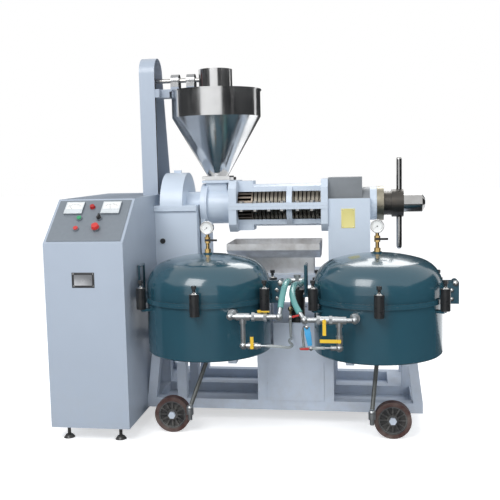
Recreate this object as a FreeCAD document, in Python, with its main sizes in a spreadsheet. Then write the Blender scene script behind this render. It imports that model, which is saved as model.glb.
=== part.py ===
import FreeCAD, Part

import math
import os
import re

import Sketcher

Vector = FreeCAD.Vector

# Driving sizes of the press, in millimetres and degrees.
# X runs along the press from the gearbox to the hand nut, -Y is the side of the filter tanks, and the
# origin lies on the floor, in the middle of the base frame and under the axis of the press worm.
SIZES = {
    # Clearances
    "gap": 0.3,
    "running_fit": 0.05,
    # Base frame
    "axis_over_table": 366,
    "frame_bottom": 75,
    "frame_right": 714,
    "frame_front": -425,
    "frame_back": 196,
    "rail_size": 50,
    "leg_width": 46,
    "leg_splay": 36,
    "post_width": 48,
    "left_post_x": -486,
    "middle_post_x": -71,
    "right_post_x": 260,
    "table_height": 716,
    "table_plate": 16,
    "table_rail": 40,
    "table_right": 677,
    "table_front": -134,
    "table_wing": 172,
    "pan_thickness": 4,
    "anchor_spacing_x": 1200,
    "anchor_spacing_y": 200,
    "anchor_hole_radius": 7,
    "anchor_pad": 84,
    "anchor_pad_thickness": 10,
    "foot_web": 25,
    # Wheels
    "wheel_radius": 87.5,
    "wheel_width": 44,
    "wheel_y": -560,
    "left_wheel_x": -502,
    "right_wheel_x": 564,
    "tyre_thickness": 19,
    "hub_radius": 27,
    "wheel_web": 16,
    "wheel_axle_radius": 12,
    "axle_nut_radius": 18,
    "axle_nut_length": 12,
    # Settling tank under the oil tray
    "settling_wall": 4,
    "settling_height": 520,
    "settling_neck_left": -12,
    "settling_neck_right": 192,
    "panel_foot": 320,
    "drain_spout_radius": 24,
    "suction_x": 142,
    "suction_drop": 15,
    # Oil tray
    "tray_left": -286,
    "tray_right": 207,
    "tray_half_width": 152,
    "tray_drop": 198,
    "tray_lip": 34,
    "tray_depth": 84,
    "tray_floor_half": 60,
    "tray_wall": 3,
    "tray_stand_left": -200,
    "tray_stand_right": 170,
    # Cabinet
    "cabinet_left": -1057,
    "cabinet_right": -668,
    "cabinet_front": -750,
    "cabinet_back": 238,
    "cabinet_bottom": 67,
    "console_bottom": 954.5,
    "cabinet_top": 1151.5,
    "console_top_y": -523,
    "cabinet_wall": 3,
    "foot_inset_x": 64,
    "foot_inset_y": 60,
    "foot_radius": 28,
    "foot_plate": 14,
    "foot_stem_radius": 8,
    # Console, in its own plane: x as the press, y up the slope
    "panel_thickness": 3,
    "panel_margin": 13,
    "meter_width": 92,
    "meter_height": 80,
    "meter_depth": 8,
    "left_meter_x": -956,
    "right_meter_x": -770,
    "meter_row": 228,
    "lamp_x": -866,
    "lamp_row": 235,
    "button_column": -915,
    "switch_column": -816,
    "upper_row": 159,
    "lower_row": 90,
    "bezel_radius": 14.5,
    "button_radius": 11,
    "bezel_height": 8,
    "button_travel": 4,
    "mushroom_radius": 20,
    "mushroom_travel": 6,
    # Main motor and belts
    "motor_axis_height": 330,
    "motor_radius": 108,
    "motor_left": -1046,
    "motor_right": -852,
    "motor_shaft_radius": 19,
    "belt_plane": -770,
    "belt_width": 17,
    "belt_pitch": 20,
    "belt_thickness": 10,
    "motor_pulley_radius": 55,
    "big_pulley_radius": 150,
    # Gearbox
    "gearbox_length": 229,
    "gearbox_half_depth": 171,
    "gearbox_wall": 9,
    "gearbox_flange": 14,
    "gearbox_flange_height": 16,
    "cover_radius": 184,
    "cover_left": -635,
    "cover_right": -514,
    "boss_radius": 78,
    "worm_journal_radius": 35,
    "input_journal_radius": 25,
    "bearing_thickness": 20,
    "worm_bearing_radius": 62,
    "input_bearing_radius": 50,
    "gear_centre": -574.5,
    "gear_width": 50,
    "bull_pitch_radius": 152,
    "pinion_pitch_radius": 57,
    "sight_plug_radius": 14,
    # Chain drive to the hopper
    "chain_plane": -711,
    "chain_width": 13,
    "chain_thickness": 10,
    "drive_sprocket_radius": 44,
    "feed_sprocket_radius": 66,
    "sprocket_width": 9,
    "guard_left": -752,
    "guard_front": -86,
    "guard_back": 215,
    "guard_arch_radius": 86,
    "guard_arch_rise": 37,
    "guard_wall": 3,
    "guard_lip": 12,
    "feed_axis_rise": 60,
    "feed_shaft_radius": 12,
    "feed_bearing_left": -571,
    "feed_bearing_right": -484,
    "feed_bearing_length": 44,
    "feed_bearing_radius": 33,
    "bracket_half_depth": 46,
    "bracket_drop": 48,
    "bracket_plate": 12,
    "bracket_web": 32,
    # Hopper and its drive head
    "feed_x": -350,
    "hopper_radius": 240,
    "hopper_wall": 3,
    "hopper_drum_height": 144,
    "hopper_cone_height": 318,
    "hopper_neck_rise": 161,
    "hopper_neck_radius": 55,
    "hopper_bead": 6,
    "feed_flange": 150,
    "feed_flange_thickness": 14,
    "head_radius": 90,
    "head_height": 111,
    "head_wall": 6,
    "crossbar_half_width": 30,
    "crossbar_thickness": 12,
    "agitator_radius": 11,
    "agitator_clearance": 19,
    "upper_paddle": 128,
    "upper_paddle_rise": 227,
    "lower_paddle": 56,
    "lower_paddle_rise": 102,
    "bevel_pinion_radius": 25,
    "bevel_wheel_radius": 50,
    "gate_thickness": 6,
    "gate_half_width": 45,
    "gate_grip": 18,
    # Feed chamber
    "chamber_left": -432,
    "chamber_right": -274,
    "chamber_flange_radius": 123,
    "chamber_flange": 35,
    "chamber_radius": 98,
    "chamber_bore": 56,
    "neck_outside": 112,
    "neck_inside": 88,
    "chamber_foot_half_depth": 105,
    "chamber_foot_thickness": 25,
    # Pressing cage
    "cage_right": 251.7,
    "cage_left_plate": 42,
    "cage_right_plate": 36,
    "cage_plate_half": 137,
    "cage_shell_radius": 114,
    "cage_bore": 92,
    "cage_ring_left": 32,
    "cage_ring_right": 61,
    "joint_bar_inner": 96,
    "joint_bar_outer": 140,
    "joint_bar_thickness": 17,
    "rib_half_width": 54,
    "rib_step_height": 133,
    "rib_step_end": -150,
    "lining_bore": 52,
    "bar_section_end": -150,
    "bar_slit": 3.2,
    "bar_count": 24,
    "ring_thickness": 14.8,
    "ring_gap": 7.1,
    "cage_bolt_radius": 8,
    "cage_bolt_head": 14,
    "cage_bolt_row": 124,
    # Worm
    "worm_start": -392,
    "worm_end": 236,
    "worm_root_start": 32,
    "worm_root_end": 44,
    "worm_flight_radius": 50.5,
    "worm_pitch": 74,
    "worm_tail_radius": 30,
    "worm_tail_end": 400,
    # Discharge end
    "pedestal_left": 252,
    "pedestal_right": 469,
    "pedestal_half_depth": 120,
    "pedestal_wall": 22,
    "pedestal_shoulder": 36,
    "box_cover_right": 429,
    "box_cover_half_depth": 86,
    "box_cover_height": 143,
    "cake_bore": 62,
    "housing_radius": 88,
    "housing_end": 505,
    "housing_spigot": 76,
    "screw_radius": 64,
    "lock_ring_radius": 91,
    "lock_ring_end": 541,
    "screw_end": 583,
    "screw_nose_radius": 44,
    "screw_nose_start": 262,
    "thread_depth": 3,
    "thread_pitch": 8,
    "nut_left": 583.3,
    "nut_right": 644,
    "nut_radius": 73,
    "nut_spigot": 40,
    "nut_bar_x": 622,
    "nut_bar_radius": 14.5,
    "nut_bar_reach": 230,
    "knob_radius": 49,
    "knob_end": 756,
    # Filter tanks
    "left_tank_x": -317,
    "right_tank_x": 497,
    "tank_radius": 301,
    "tank_wall": 6,
    "tank_bottom": 410,
    "tank_depth": 260,
    "tank_y": -502,
    "rim_overhang": 12,
    "rim_thickness": 11,
    "lid_rim": 11,
    "lid_wall": 6,
    "dome_height": 194,
    "dome_skirt_share": 0.2,
    "dome_knuckle_share": 0.67,
    "tank_arm_width": 40,
    "tank_arm_height": 46,
    "tank_arm_offset": 130,
    "hinge_past_rim": 43,
    "hinge_rise": 65,
    "hinge_pin_radius": 8,
    "hinge_eye_radius": 15,
    "hinge_tongue_half": 18,
    "hinge_cheek": 11,
    "hinge_play": 3,
    "lid_handle_past_rim": 25,
    "lid_handle_half": 43,
    "lid_handle_height": 149.7,
    "lid_handle_rod": 6,
    "clamp_past_rim": 28,
    "clamp_radius": 22.5,
    "clamp_below": 38,
    "clamp_above": 62,
    "clamp_spindle_radius": 7,
    "clamp_spindle_rise": 38,
    "screen_margin": 33,
    "screen_thickness": 14,
    "screen_pitch": 40,
    "screen_tube_radius": 18,
    # Gauges and vents on the lids
    "gauge_radius": 32,
    "gauge_depth": 28,
    "gauge_rise": 60,
    "vent_radius": 9,
    "vent_boss_radius": 22,
    "vent_cock_rise": 66.7,
    "vent_lever_length": 50,
    # Pipework in front of the tanks
    "pipe_radius": 11,
    "fitting_radius": 17,
    "left_pipe_y": -835,
    "right_pipe_y": -850,
    "left_pipe_height": 631,
    "right_pipe_height": 621,
    "left_outlet_x": -157,
    "left_tee_x": -100,
    "left_valve_x": -26,
    "left_end_x": 62,
    "left_low_height": 500,
    "left_low_valve_x": -58,
    "left_low_end_x": -22,
    "right_outlet_x": 393,
    "right_tee_x": 326,
    "right_valve_x": 262,
    "right_end_x": 175,
    "right_low_height": 498,
    "right_low_valve_height": 534,
    "right_low_end_x": 288,
    "green_tail_radius": 10,
    "clear_tail_radius": 5,
    "hose_tail": 26,
    "lever_thickness": 4,
    "lever_width": 15,
    "lever_length": 84,
    "short_lever_length": 46,
    "drain_radius": 13,
    "left_drain_x": -406,
    "right_drain_x": 467,
    "drain_y": -606,
    "drain_elbow_height": 132,
    "drain_cock_height": 74,
    # Oil pump between the tanks
    "pump_x": 106,
    "pump_y": -372,
    "pump_radius": 37,
    "pump_foot": 12,
    "pump_rise": 160,
    "riser_tee_rise": 44,
    "riser_tee_half": 34,
    "pump_port_x": 76,
    "pump_port_rise": 72,
    # Hoses
    "green_hose_radius": 14,
    "clear_hose_radius": 6.5,
}

# Places that follow from the driving sizes.
PLACES = {
    "axis_height": "table_height + axis_over_table",
    "hopper_neck_height": "axis_height + hopper_neck_rise",
    "hopper_seam_height": "hopper_neck_height + hopper_cone_height",
    "hopper_rim_height": "hopper_seam_height + hopper_drum_height",
    "head_top": "hopper_rim_height + head_height",
    "feed_axis_height": "hopper_rim_height + feed_axis_rise",
    "guard_arch_height": "feed_axis_height + guard_arch_rise",
    "bracket_top": "feed_axis_height - bracket_drop",
    "agitator_end": "hopper_neck_height + agitator_clearance",
    "upper_paddle_height": "hopper_neck_height + upper_paddle_rise",
    "lower_paddle_height": "hopper_neck_height + lower_paddle_rise",
    "tray_rim_height": "axis_height - tray_drop",
    "tray_floor_height": "tray_rim_height - tray_depth",
    "rim_radius": "tank_radius + rim_overhang",
    "hinge_reach": "rim_radius + hinge_past_rim",
    "lid_handle_reach": "rim_radius + lid_handle_past_rim",
    "clamp_circle": "rim_radius + clamp_past_rim",
    "screen_radius": "tank_radius - screen_margin",
    "suction_height": "settling_height - suction_drop",
    "pump_top": "settling_height + pump_rise",
    "riser_tee_height": "pump_top + riser_tee_rise",
    "pump_port_height": "settling_height + pump_port_rise",
    "clamp_bottom": "seam_height - clamp_below",
    "clamp_top": "seam_height + clamp_above",
    "clamp_knob_top": "clamp_top + clamp_spindle_rise",
    "lid_handle_top": "lid_base + lid_handle_height",
    "vent_cock_height": "lid_top + vent_cock_rise",
    "gauge_height": "vent_cock_height + gauge_rise",
    "frame_left": "cabinet_right + gap",
    "table_left": "cabinet_right + gap",
    "table_back": "frame_back",
    "rail_top": "frame_bottom + rail_size",
    "beam_bottom": "tank_bottom - tank_arm_height",
    "settling_left": "middle_post_x + post_width / 2 + gap",
    "settling_right": "right_post_x - post_width / 2 - gap",
    "settling_front": "frame_front - gap - settling_wall",
    "spout_x": "(settling_left + settling_right) / 2",
    "table_rail_bottom": "table_height - table_plate - table_rail",
    "seam_height": "tank_bottom + tank_depth",
    "lid_base": "seam_height + gap",
    "hinge_height": "seam_height + hinge_rise",
    "dome_base": "lid_base + lid_rim",
    "lid_top": "dome_base + dome_height",
    "gearbox_left": "cabinet_right + gap",
    "gearbox_right": "gearbox_left + gearbox_length",
    "input_height": "axis_height - bull_pitch_radius - pinion_pitch_radius",
    "console_angle": "atan2(cabinet_top - console_bottom; console_top_y - cabinet_front)",
    "console_length": "sqrt(pow(cabinet_top - console_bottom; 2) + pow(console_top_y - cabinet_front; 2))",
    "chamber_flange_top": "hopper_neck_height - feed_flange_thickness - gate_thickness - 2 * gap",
    "gate_bottom": "chamber_flange_top + gap",
    "hopper_flange_bottom": "gate_bottom + gate_thickness + gap",
    "bevel_wheel_base": "feed_axis_height - bevel_pinion_radius",
    "cage_left": "chamber_right + gap",
    "screw_bore": "screw_radius + running_fit",
}

DOC = FreeCAD.newDocument("OilPress")
SHEET = DOC.addObject("Spreadsheet::Sheet", "Sizes")
SUBPARTS = []
AXIS_TURNS = {"x": (Vector(0, 1, 0), 90), "y": (Vector(1, 0, 0), -90), "z": (Vector(0, 0, 1), 0)}
CROSS_AXES = {"x": "yz", "y": "xz", "z": "xy"}


def fill_sheet():
    """Write every driving size to its own named cell."""
    for row, (alias, value) in enumerate(SIZES.items(), start=1):
        SHEET.set(f"A{row}", alias)
        SHEET.set(f"B{row}", str(value))
        SHEET.setAlias(f"B{row}", alias)
    DOC.recompute()


def linked(formula):
    """Turn the names in a formula into references to the sheet's cells."""
    def replace(match):
        word = match.group(0)
        if word in PLACES:
            return "(" + linked(PLACES[word]) + ")"
        if word in SIZES:
            return "Sizes." + word
        return word
    return re.sub(r"[a-z_]+", replace, str(formula))


def bind(thing, prop, formula):
    """Tie one property of an object to a formula of named sizes."""
    thing.setExpression(prop, linked(formula))


def size(name):
    """The present value of one driving size."""
    return float(SHEET.get(name))


def axis_level():
    """How high the axis of the worm lies."""
    return size("table_height") + size("axis_over_table")


def input_level():
    """How high the input shaft of the gearbox lies."""
    return axis_level() - size("bull_pitch_radius") - size("pinion_pitch_radius")


def feed_level():
    """How high the feed shaft above the hopper lies."""
    hopper = size("hopper_neck_rise") + size("hopper_cone_height") + size("hopper_drum_height")
    return axis_level() + hopper + size("feed_axis_rise")


def place(thing, x="0", y="0", z="0"):
    """Move an object to a place given by formulas."""
    for axis, formula in zip("xyz", (x, y, z)):
        bind(thing, "Placement.Base." + axis, formula)
    return thing


def block(x, y, z):
    """A rectangular block between two limits on each axis."""
    solid = DOC.addObject("Part::Box", "Block")
    for side, (low, high) in zip(("Length", "Width", "Height"), (x, y, z)):
        bind(solid, side, f"({high}) - ({low})")
    return place(solid, x[0], y[0], z[0])


def turned(solid, along, start, centre):
    """Stand a primitive of revolution along an axis, from start, about a centre line."""
    axis, angle = AXIS_TURNS[along]
    solid.Placement = FreeCAD.Placement(Vector(), FreeCAD.Rotation(axis, angle))
    spot = dict(zip(CROSS_AXES[along], centre))
    spot[along] = start
    return place(solid, **spot)


def rod(along, radius, start, end, centre):
    """A round bar along an axis."""
    solid = DOC.addObject("Part::Cylinder", "Rod")
    bind(solid, "Radius", radius)
    bind(solid, "Height", f"({end}) - ({start})")
    return turned(solid, along, start, centre)


def cone(along, radii, start, end, centre):
    """A frustum along an axis."""
    solid = DOC.addObject("Part::Cone", "Frustum")
    bind(solid, "Radius1", radii[0])
    bind(solid, "Radius2", radii[1])
    bind(solid, "Height", f"({end}) - ({start})")
    return turned(solid, along, start, centre)


def hexagon(along, radius, start, end, centre):
    """A hexagonal nut or head along an axis."""
    solid = DOC.addObject("Part::Prism", "Hexagon")
    solid.Polygon = 6
    bind(solid, "Circumradius", radius)
    bind(solid, "Height", f"({end}) - ({start})")
    return turned(solid, along, start, centre)


def ball(radius, x, y, z):
    """A sphere about a point, turned so that its poles and its seam lie away from the pipes."""
    solid = DOC.addObject("Part::Sphere", "Ball")
    bind(solid, "Radius", radius)
    solid.Placement = FreeCAD.Placement(Vector(), FreeCAD.Rotation(35, 40, 30))
    return place(solid, x, y, z)


def fused(*pieces):
    """Several overlapping shapes joined into one solid."""
    joined = DOC.addObject("Part::MultiFuse", "Joined")
    joined.Shapes = list(pieces)
    return joined


def group(*pieces):
    """Separate solids kept side by side in one sub-part."""
    together = DOC.addObject("Part::Compound", "Group")
    together.Links = list(pieces)
    return together


def cut(base, *tools):
    """A shape less one or more others."""
    result = DOC.addObject("Part::Cut", "Cut")
    result.Base = base
    result.Tool = tools[0] if len(tools) == 1 else fused(*tools)
    return result


def tube(along, outer, inner, start, end, centre):
    """A round bar with a round hole along its whole length."""
    return cut(rod(along, outer, start, end, centre), rod(along, inner, start, end, centre))


def outline(body, role, corners):
    """A closed sketch of straight lines whose corners are all tied to formulas."""
    plane = [feature for feature in body.Origin.OriginFeatures if feature.Role == role][0]
    sketch = body.newObject("Sketcher::SketchObject", "Outline")
    sketch.AttachmentSupport = [(plane, "")]
    sketch.MapMode = "FlatFace"
    count = len(corners)
    start = [Vector(10 * index, 7 * index * index, 0) for index in range(count)]
    for index in range(count):
        sketch.addGeometry(Part.LineSegment(start[index], start[(index + 1) % count]))
    for index in range(count):
        sketch.addConstraint(Sketcher.Constraint("Coincident", index, 2, (index + 1) % count, 1))
    for index, corner in enumerate(corners):
        for kind, formula, value in zip(("DistanceX", "DistanceY"), corner, start[index]):
            number = sketch.addConstraint(Sketcher.Constraint(kind, -1, 1, index, 1, value))
            bind(sketch, f"Constraints[{number}]", formula)
    return sketch


def plate(role, corners, thickness, x="0", y="0", z="0"):
    """A plate of a drawn outline, padded along its plane's normal."""
    body = DOC.addObject("PartDesign::Body", "Plate")
    sketch = outline(body, role, corners)
    pad = body.newObject("PartDesign::Pad", "Pad")
    pad.Profile = sketch
    bind(pad, "Length", thickness)
    return place(body, x, y, z)


def spun(corners, axis="V_Axis", x="0", y="0", z="0"):
    """A body of revolution drawn in the XZ plane: about Z, or about X with the H_Axis."""
    body = DOC.addObject("PartDesign::Body", "Spun")
    sketch = outline(body, "XZ_Plane", corners)
    turn = body.newObject("PartDesign::Revolution", "Revolution")
    turn.Profile = sketch
    turn.ReferenceAxis = (sketch, [axis])
    turn.Angle = 360
    return place(body, x, y, z)


def fixed(shape):
    """A shape worked out with numbers read from the sheet."""
    feature = DOC.addObject("Part::Feature", "Formed")
    feature.Shape = shape
    return feature


def subpart(label, solid):
    """Name a finished sub-part."""
    solid.Label = label
    SUBPARTS.append(solid)
    return solid


def make_base_frame():
    """Welded base: rails, splayed legs, posts, table, tank beams and arms, wheel arms, pan and feet."""
    front = ("frame_front", "frame_front + rail_size")
    middle = ("table_front", "table_front + rail_size")
    back = ("frame_back - rail_size", "frame_back")
    bottom = ("frame_bottom", "rail_top")
    pieces = [block(("frame_left", "frame_right"), rail, bottom) for rail in (front, middle, back)]
    for end in (("frame_left", "frame_left + rail_size"), ("frame_right - rail_size", "frame_right")):
        pieces.append(block(end, ("frame_front", "frame_back"), bottom))
    pieces.append(block(("frame_left", "frame_right"), ("frame_front", "frame_back"),
                        ("frame_bottom", "frame_bottom + pan_thickness")))
    for post in ("left_post_x", "middle_post_x", "right_post_x"):
        sides = (f"{post} - post_width / 2", f"{post} + post_width / 2")
        pieces.append(block(sides, front, ("rail_top - 1", "beam_bottom + 1")))
        for rail in (middle, back):
            pieces.append(block(sides, rail, ("rail_top - 1", "table_rail_bottom + 1")))
    pieces.extend(splayed_legs())
    pieces.extend(make_table(middle, back))
    for side in ("left", "right"):
        pieces.extend(tank_arms(side))
        pieces.append(wheel_arm(side))
    pieces.extend(anchor_feet())
    return subpart("base_frame", cut(fused(*pieces), *anchor_holes(), spout_window()))


def splayed_legs():
    """Front legs that lean inwards up to the tank beams, and upright back legs up to the table."""
    legs = []
    for foot, sign in (("frame_left", "+"), ("frame_right", "-")):
        corners = [
            (foot, "rail_top"),
            (f"{foot} {sign} leg_splay", "tank_bottom"),
            (f"{foot} {sign} (leg_splay + leg_width)", "tank_bottom"),
            (f"{foot} {sign} leg_width", "rail_top"),
        ]
        legs.append(plate("XZ_Plane", corners, "rail_size", y="frame_front + rail_size"))
    for sides in (("table_left", "table_left + rail_size"), ("table_right - rail_size", "table_right")):
        for rail in (("table_front", "table_front + rail_size"), ("frame_back - rail_size", "frame_back")):
            legs.append(block(sides, rail, ("rail_top - 1", "table_rail_bottom + 1")))
    return legs


def make_table(middle, back):
    """The table plate on its two rails, with a wing under the gearbox."""
    plate_levels = ("table_height - table_plate", "table_height")
    whole = block(("table_left", "table_right"), ("table_front", "table_back"), plate_levels)
    wing = block(("table_left", "gearbox_right"), ("-table_wing", "table_front + 1"), plate_levels)
    rails = [block(("table_left", "table_right"), rail,
                   ("table_rail_bottom", "table_height - table_plate + 1"))
             for rail in (middle, back)]
    return [whole, wing, *rails]


def spout_window():
    """The hole in the table for the spout of the oil tray."""
    return rod("z", "drain_spout_radius + 4 * tray_wall", "table_height - 2 * table_plate",
               "table_height + table_plate",
               ("spout_x", "0"))


def tank_arms(side):
    """A front beam, and two arms under a tank that reach back to the posts of the table."""
    levels = ("beam_bottom", "tank_bottom - gap")
    ends = {"left": ("frame_left + leg_splay", "middle_post_x + post_width / 2"),
            "right": ("right_post_x - post_width / 2", "frame_right - leg_splay")}
    arms = [block(ends[side], ("frame_front", "frame_front + rail_size"), levels),
            block(ends[side], ("table_front", "table_front + rail_size"), levels)]
    for sign in ("-", "+"):
        middle = f"{side}_tank_x {sign} tank_arm_offset"
        arms.append(block((f"{middle} - tank_arm_width / 2", f"{middle} + tank_arm_width / 2"),
                          ("tank_y - tank_arm_offset", "table_front + 1"), levels))
    return arms


def wheel_arm(side):
    """An arm on the front rail, with the stub axle that a wheel turns on."""
    middle = f"{side}_wheel_x"
    end = "wheel_y + wheel_width / 2 + gap"
    arm = block((f"{middle} - rail_size / 2", f"{middle} + rail_size / 2"), (end, "frame_front + 1"),
                ("frame_bottom", "wheel_radius + axle_nut_radius"))
    nut_face = "wheel_y - wheel_width / 2 - gap"
    axle = rod("y", "wheel_axle_radius", nut_face, f"{end} + 1", (middle, "wheel_radius"))
    nut = hexagon("y", "axle_nut_radius", f"{nut_face} - axle_nut_length", nut_face,
                  (middle, "wheel_radius"))
    return fused(arm, axle, nut)


def anchor_places():
    """The centres of the four anchor holes."""
    return [(f"{sx}anchor_spacing_x / 2", f"{sy}anchor_spacing_y / 2") for sx in ("-", "") for sy in ("-",
                                                                                                      "")]


def anchor_feet():
    """Cross rails, with feet on pads that take the floor anchors."""
    feet = []
    half = "anchor_pad / 2"
    for x, y in anchor_places():
        feet.append(block((f"{x} - {half}", f"{x} + {half}"), (f"{y} - {half}", f"{y} + {half}"),
                          ("0", "anchor_pad_thickness")))
        sides = (f"{y} - {half}",
                 f"{y} - {half} + foot_web") if y.startswith("-") else (f"{y} + {half} - foot_web",
                                                                        f"{y} + {half}")
        feet.append(block((f"{x} - {half}", f"{x} + {half}"), sides, ("0", "frame_bottom + 1")))
    for sign in ("-", ""):
        x = f"{sign}anchor_spacing_x / 2"
        feet.append(block((f"{x} - {half}", f"{x} + {half}"), ("table_front", "frame_back"),
                          ("frame_bottom", "rail_top")))
    return feet


def anchor_holes():
    """The drills for the floor anchors, through the pads."""
    return [rod("z", "anchor_hole_radius", "-anchor_pad_thickness", "2 * anchor_pad_thickness", spot)
            for spot in anchor_places()]


def make_settling_tank():
    """Sheet-metal oil tank whose front panel laps the posts and whose neck rises between the tanks."""
    left, right, wall = "settling_left", "settling_right", "settling_wall"
    back = "frame_back - rail_size - gap"
    floor = "rail_top + gap"
    lower = block((left, right), ("settling_front", back), (floor, "tank_bottom - gap"))
    neck_sides = ("settling_neck_left", "settling_neck_right")
    neck = block(neck_sides, ("settling_front", back), ("panel_foot", "settling_height"))
    panel = block(("middle_post_x - post_width / 2", "right_post_x + post_width / 2"),
                  ("settling_front", f"settling_front + {wall}"),
                  ("panel_foot", "tank_bottom - gap"))
    lower_room = block((f"{left} + {wall}", f"{right} - {wall}"),
                       (f"settling_front + {wall}", f"{back} - {wall}"),
                       (f"{floor} + {wall}", f"tank_bottom - gap - {wall}"))
    neck_room = block((f"settling_neck_left + {wall}", f"settling_neck_right - {wall}"),
                      (f"settling_front + {wall}", f"{back} - {wall}"),
                      (f"{floor} + 2 * {wall}", f"settling_height - {wall}"))
    mouth = rod("z", "drain_spout_radius + 2 * settling_wall", "settling_height - 2 * settling_wall",
                "settling_height + settling_wall", ("spout_x", "0"))
    spot = ("suction_x", "suction_height")
    nipple = hexagon("y", "pipe_radius", "settling_front - hose_tail / 2", "settling_front + 1", spot)
    tail = rod("y", "clear_tail_radius", "settling_front - hose_tail", "settling_front + 1", spot)
    shell = cut(fused(lower, neck, panel), lower_room, neck_room, mouth)
    return subpart("settling_tank", fused(shell, nipple, tail))


def make_oil_tray():
    """Trough under the cage, on a stand, with a spout down to the settling tank."""
    def section(shrink, rise):
        lip = f"tray_half_width - {shrink}"
        floor = f"tray_floor_half - {shrink}"
        bend = f"tray_rim_height - tray_lip + {rise} / 2"
        top = f"tray_rim_height + {rise}"
        base = f"tray_floor_height + {rise}"
        return [(f"-({lip})", top), (f"-({lip})", bend), (f"-({floor})", base), (floor, base), (lip, bend),
                (lip, top)]
    length = "tray_right - tray_left"
    outer = plate("YZ_Plane", section("0", "0"), length, x="tray_left")
    inner = plate("YZ_Plane", section("tray_wall", "tray_wall"), f"{length} - 2 * tray_wall",
                  x="tray_left + tray_wall")
    lower = "table_height"
    stand = block(("tray_stand_left", "tray_stand_right"), ("-tray_floor_half", "tray_floor_half"),
                  (lower, "tray_floor_height"))
    stand_inside = block(("tray_stand_left + tray_wall", "tray_stand_right - tray_wall"),
                         ("-tray_floor_half + tray_wall", "tray_floor_half - tray_wall"),
                         ("table_height - tray_wall", "tray_floor_height - tray_wall"))
    centre = ("spout_x", "0")
    spout = rod("z", "drain_spout_radius", "settling_height - 3 * settling_wall", "tray_floor_height",
                centre)
    spout_bore = rod("z", "drain_spout_radius - tray_wall", "settling_height - 4 * settling_wall",
                     "tray_floor_height + 2 * tray_wall", centre)
    return subpart("oil_tray", cut(fused(cut(outer, inner), cut(stand, stand_inside), spout), spout_bore))


def cabinet_section(inset):
    """The side outline of the cabinet, drawn in by a wall."""
    front = f"cabinet_front + {inset}"
    back = f"cabinet_back - {inset}"
    top = f"cabinet_top - {inset}"
    return [(front, f"cabinet_bottom + {inset}"), (front, "console_bottom"),
            (f"console_top_y + {inset}", top),
            (back, top), (back, f"cabinet_bottom + {inset}")]


def make_cabinet_shell():
    """Sheet-metal cabinet with a sloping console, open to the drive shaft and to the chain guard."""
    width = "cabinet_right - cabinet_left"
    outer = plate("YZ_Plane", cabinet_section("0"), width, x="cabinet_left")
    inner = plate("YZ_Plane", cabinet_section("cabinet_wall"), f"{width} - 2 * cabinet_wall",
                  x="cabinet_left + cabinet_wall")
    shaft_hole = rod("x", "input_journal_radius + 2 * cabinet_wall", "cabinet_right - 2 * cabinet_wall",
                     "cabinet_right + cabinet_wall",
                     ("0", "input_height"))
    chain_slot = block(("guard_left + 2 * guard_wall", "cabinet_right - 3 * cabinet_wall"),
                       ("-guard_arch_radius + 2 * guard_wall", "guard_arch_radius - 2 * guard_wall"),
                       ("cabinet_top - 2 * cabinet_wall", "cabinet_top + cabinet_wall"))
    return subpart("cabinet_shell", cut(outer, inner, shaft_hole, chain_slot))


def make_levelling_feet():
    """Four screw feet under the cabinet."""
    feet = []
    for x in ("cabinet_left + foot_inset_x", "cabinet_right - foot_inset_x"):
        for y in ("cabinet_front + foot_inset_y", "cabinet_back - foot_inset_y"):
            pad = cone("z", ("foot_radius", "foot_radius * 0.6"), "0", "foot_plate", (x, y))
            stem = rod("z", "foot_stem_radius", "foot_plate / 2", "cabinet_bottom", (x, y))
            nut = hexagon("z", "foot_stem_radius * 2", "cabinet_bottom - foot_plate", "cabinet_bottom",
                          (x, y))
            feet.append(fused(pad, stem, nut))
    return subpart("levelling_feet", group(*feet))


def on_console(solid):
    """Lay a piece, drawn flat, on the slope of the console."""
    solid.Placement = FreeCAD.Placement(Vector(), FreeCAD.Rotation(Vector(1, 0, 0), 1))
    bind(solid, "Placement.Rotation.Angle", "console_angle")
    return place(solid, y="cabinet_front", z="console_bottom")


def make_console_panel():
    """Console plate with its two meters, the lamp and the bezels of the switches."""
    top = "panel_thickness"
    pieces = [block(("cabinet_left + panel_margin", "cabinet_right - panel_margin"),
                    ("panel_margin", "console_length - panel_margin"), ("0", top))]
    for x in ("left_meter_x", "right_meter_x"):
        pieces.append(block((f"{x} - meter_width / 2", f"{x} + meter_width / 2"),
                            ("meter_row - meter_height / 2", "meter_row + meter_height / 2"),
                            (top, f"{top} + meter_depth")))
    pieces.append(cone("z", ("bezel_radius", "button_radius"), top, f"{top} + 2 * bezel_height",
                       ("lamp_x", "lamp_row")))
    for x, y in switch_places().values():
        pieces.append(tube("z", "bezel_radius", "button_radius + gap", top, f"{top} + bezel_height",
                           (x, y)))
    return subpart("console_panel", on_console(group(*pieces)))


def switch_places():
    """Where each switch sits on the console."""
    return {
        "start_button": ("button_column", "upper_row"),
        "stop_button": ("button_column", "lower_row"),
        "selector_knob": ("switch_column", "upper_row"),
        "emergency_stop": ("switch_column", "lower_row"),
    }


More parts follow.
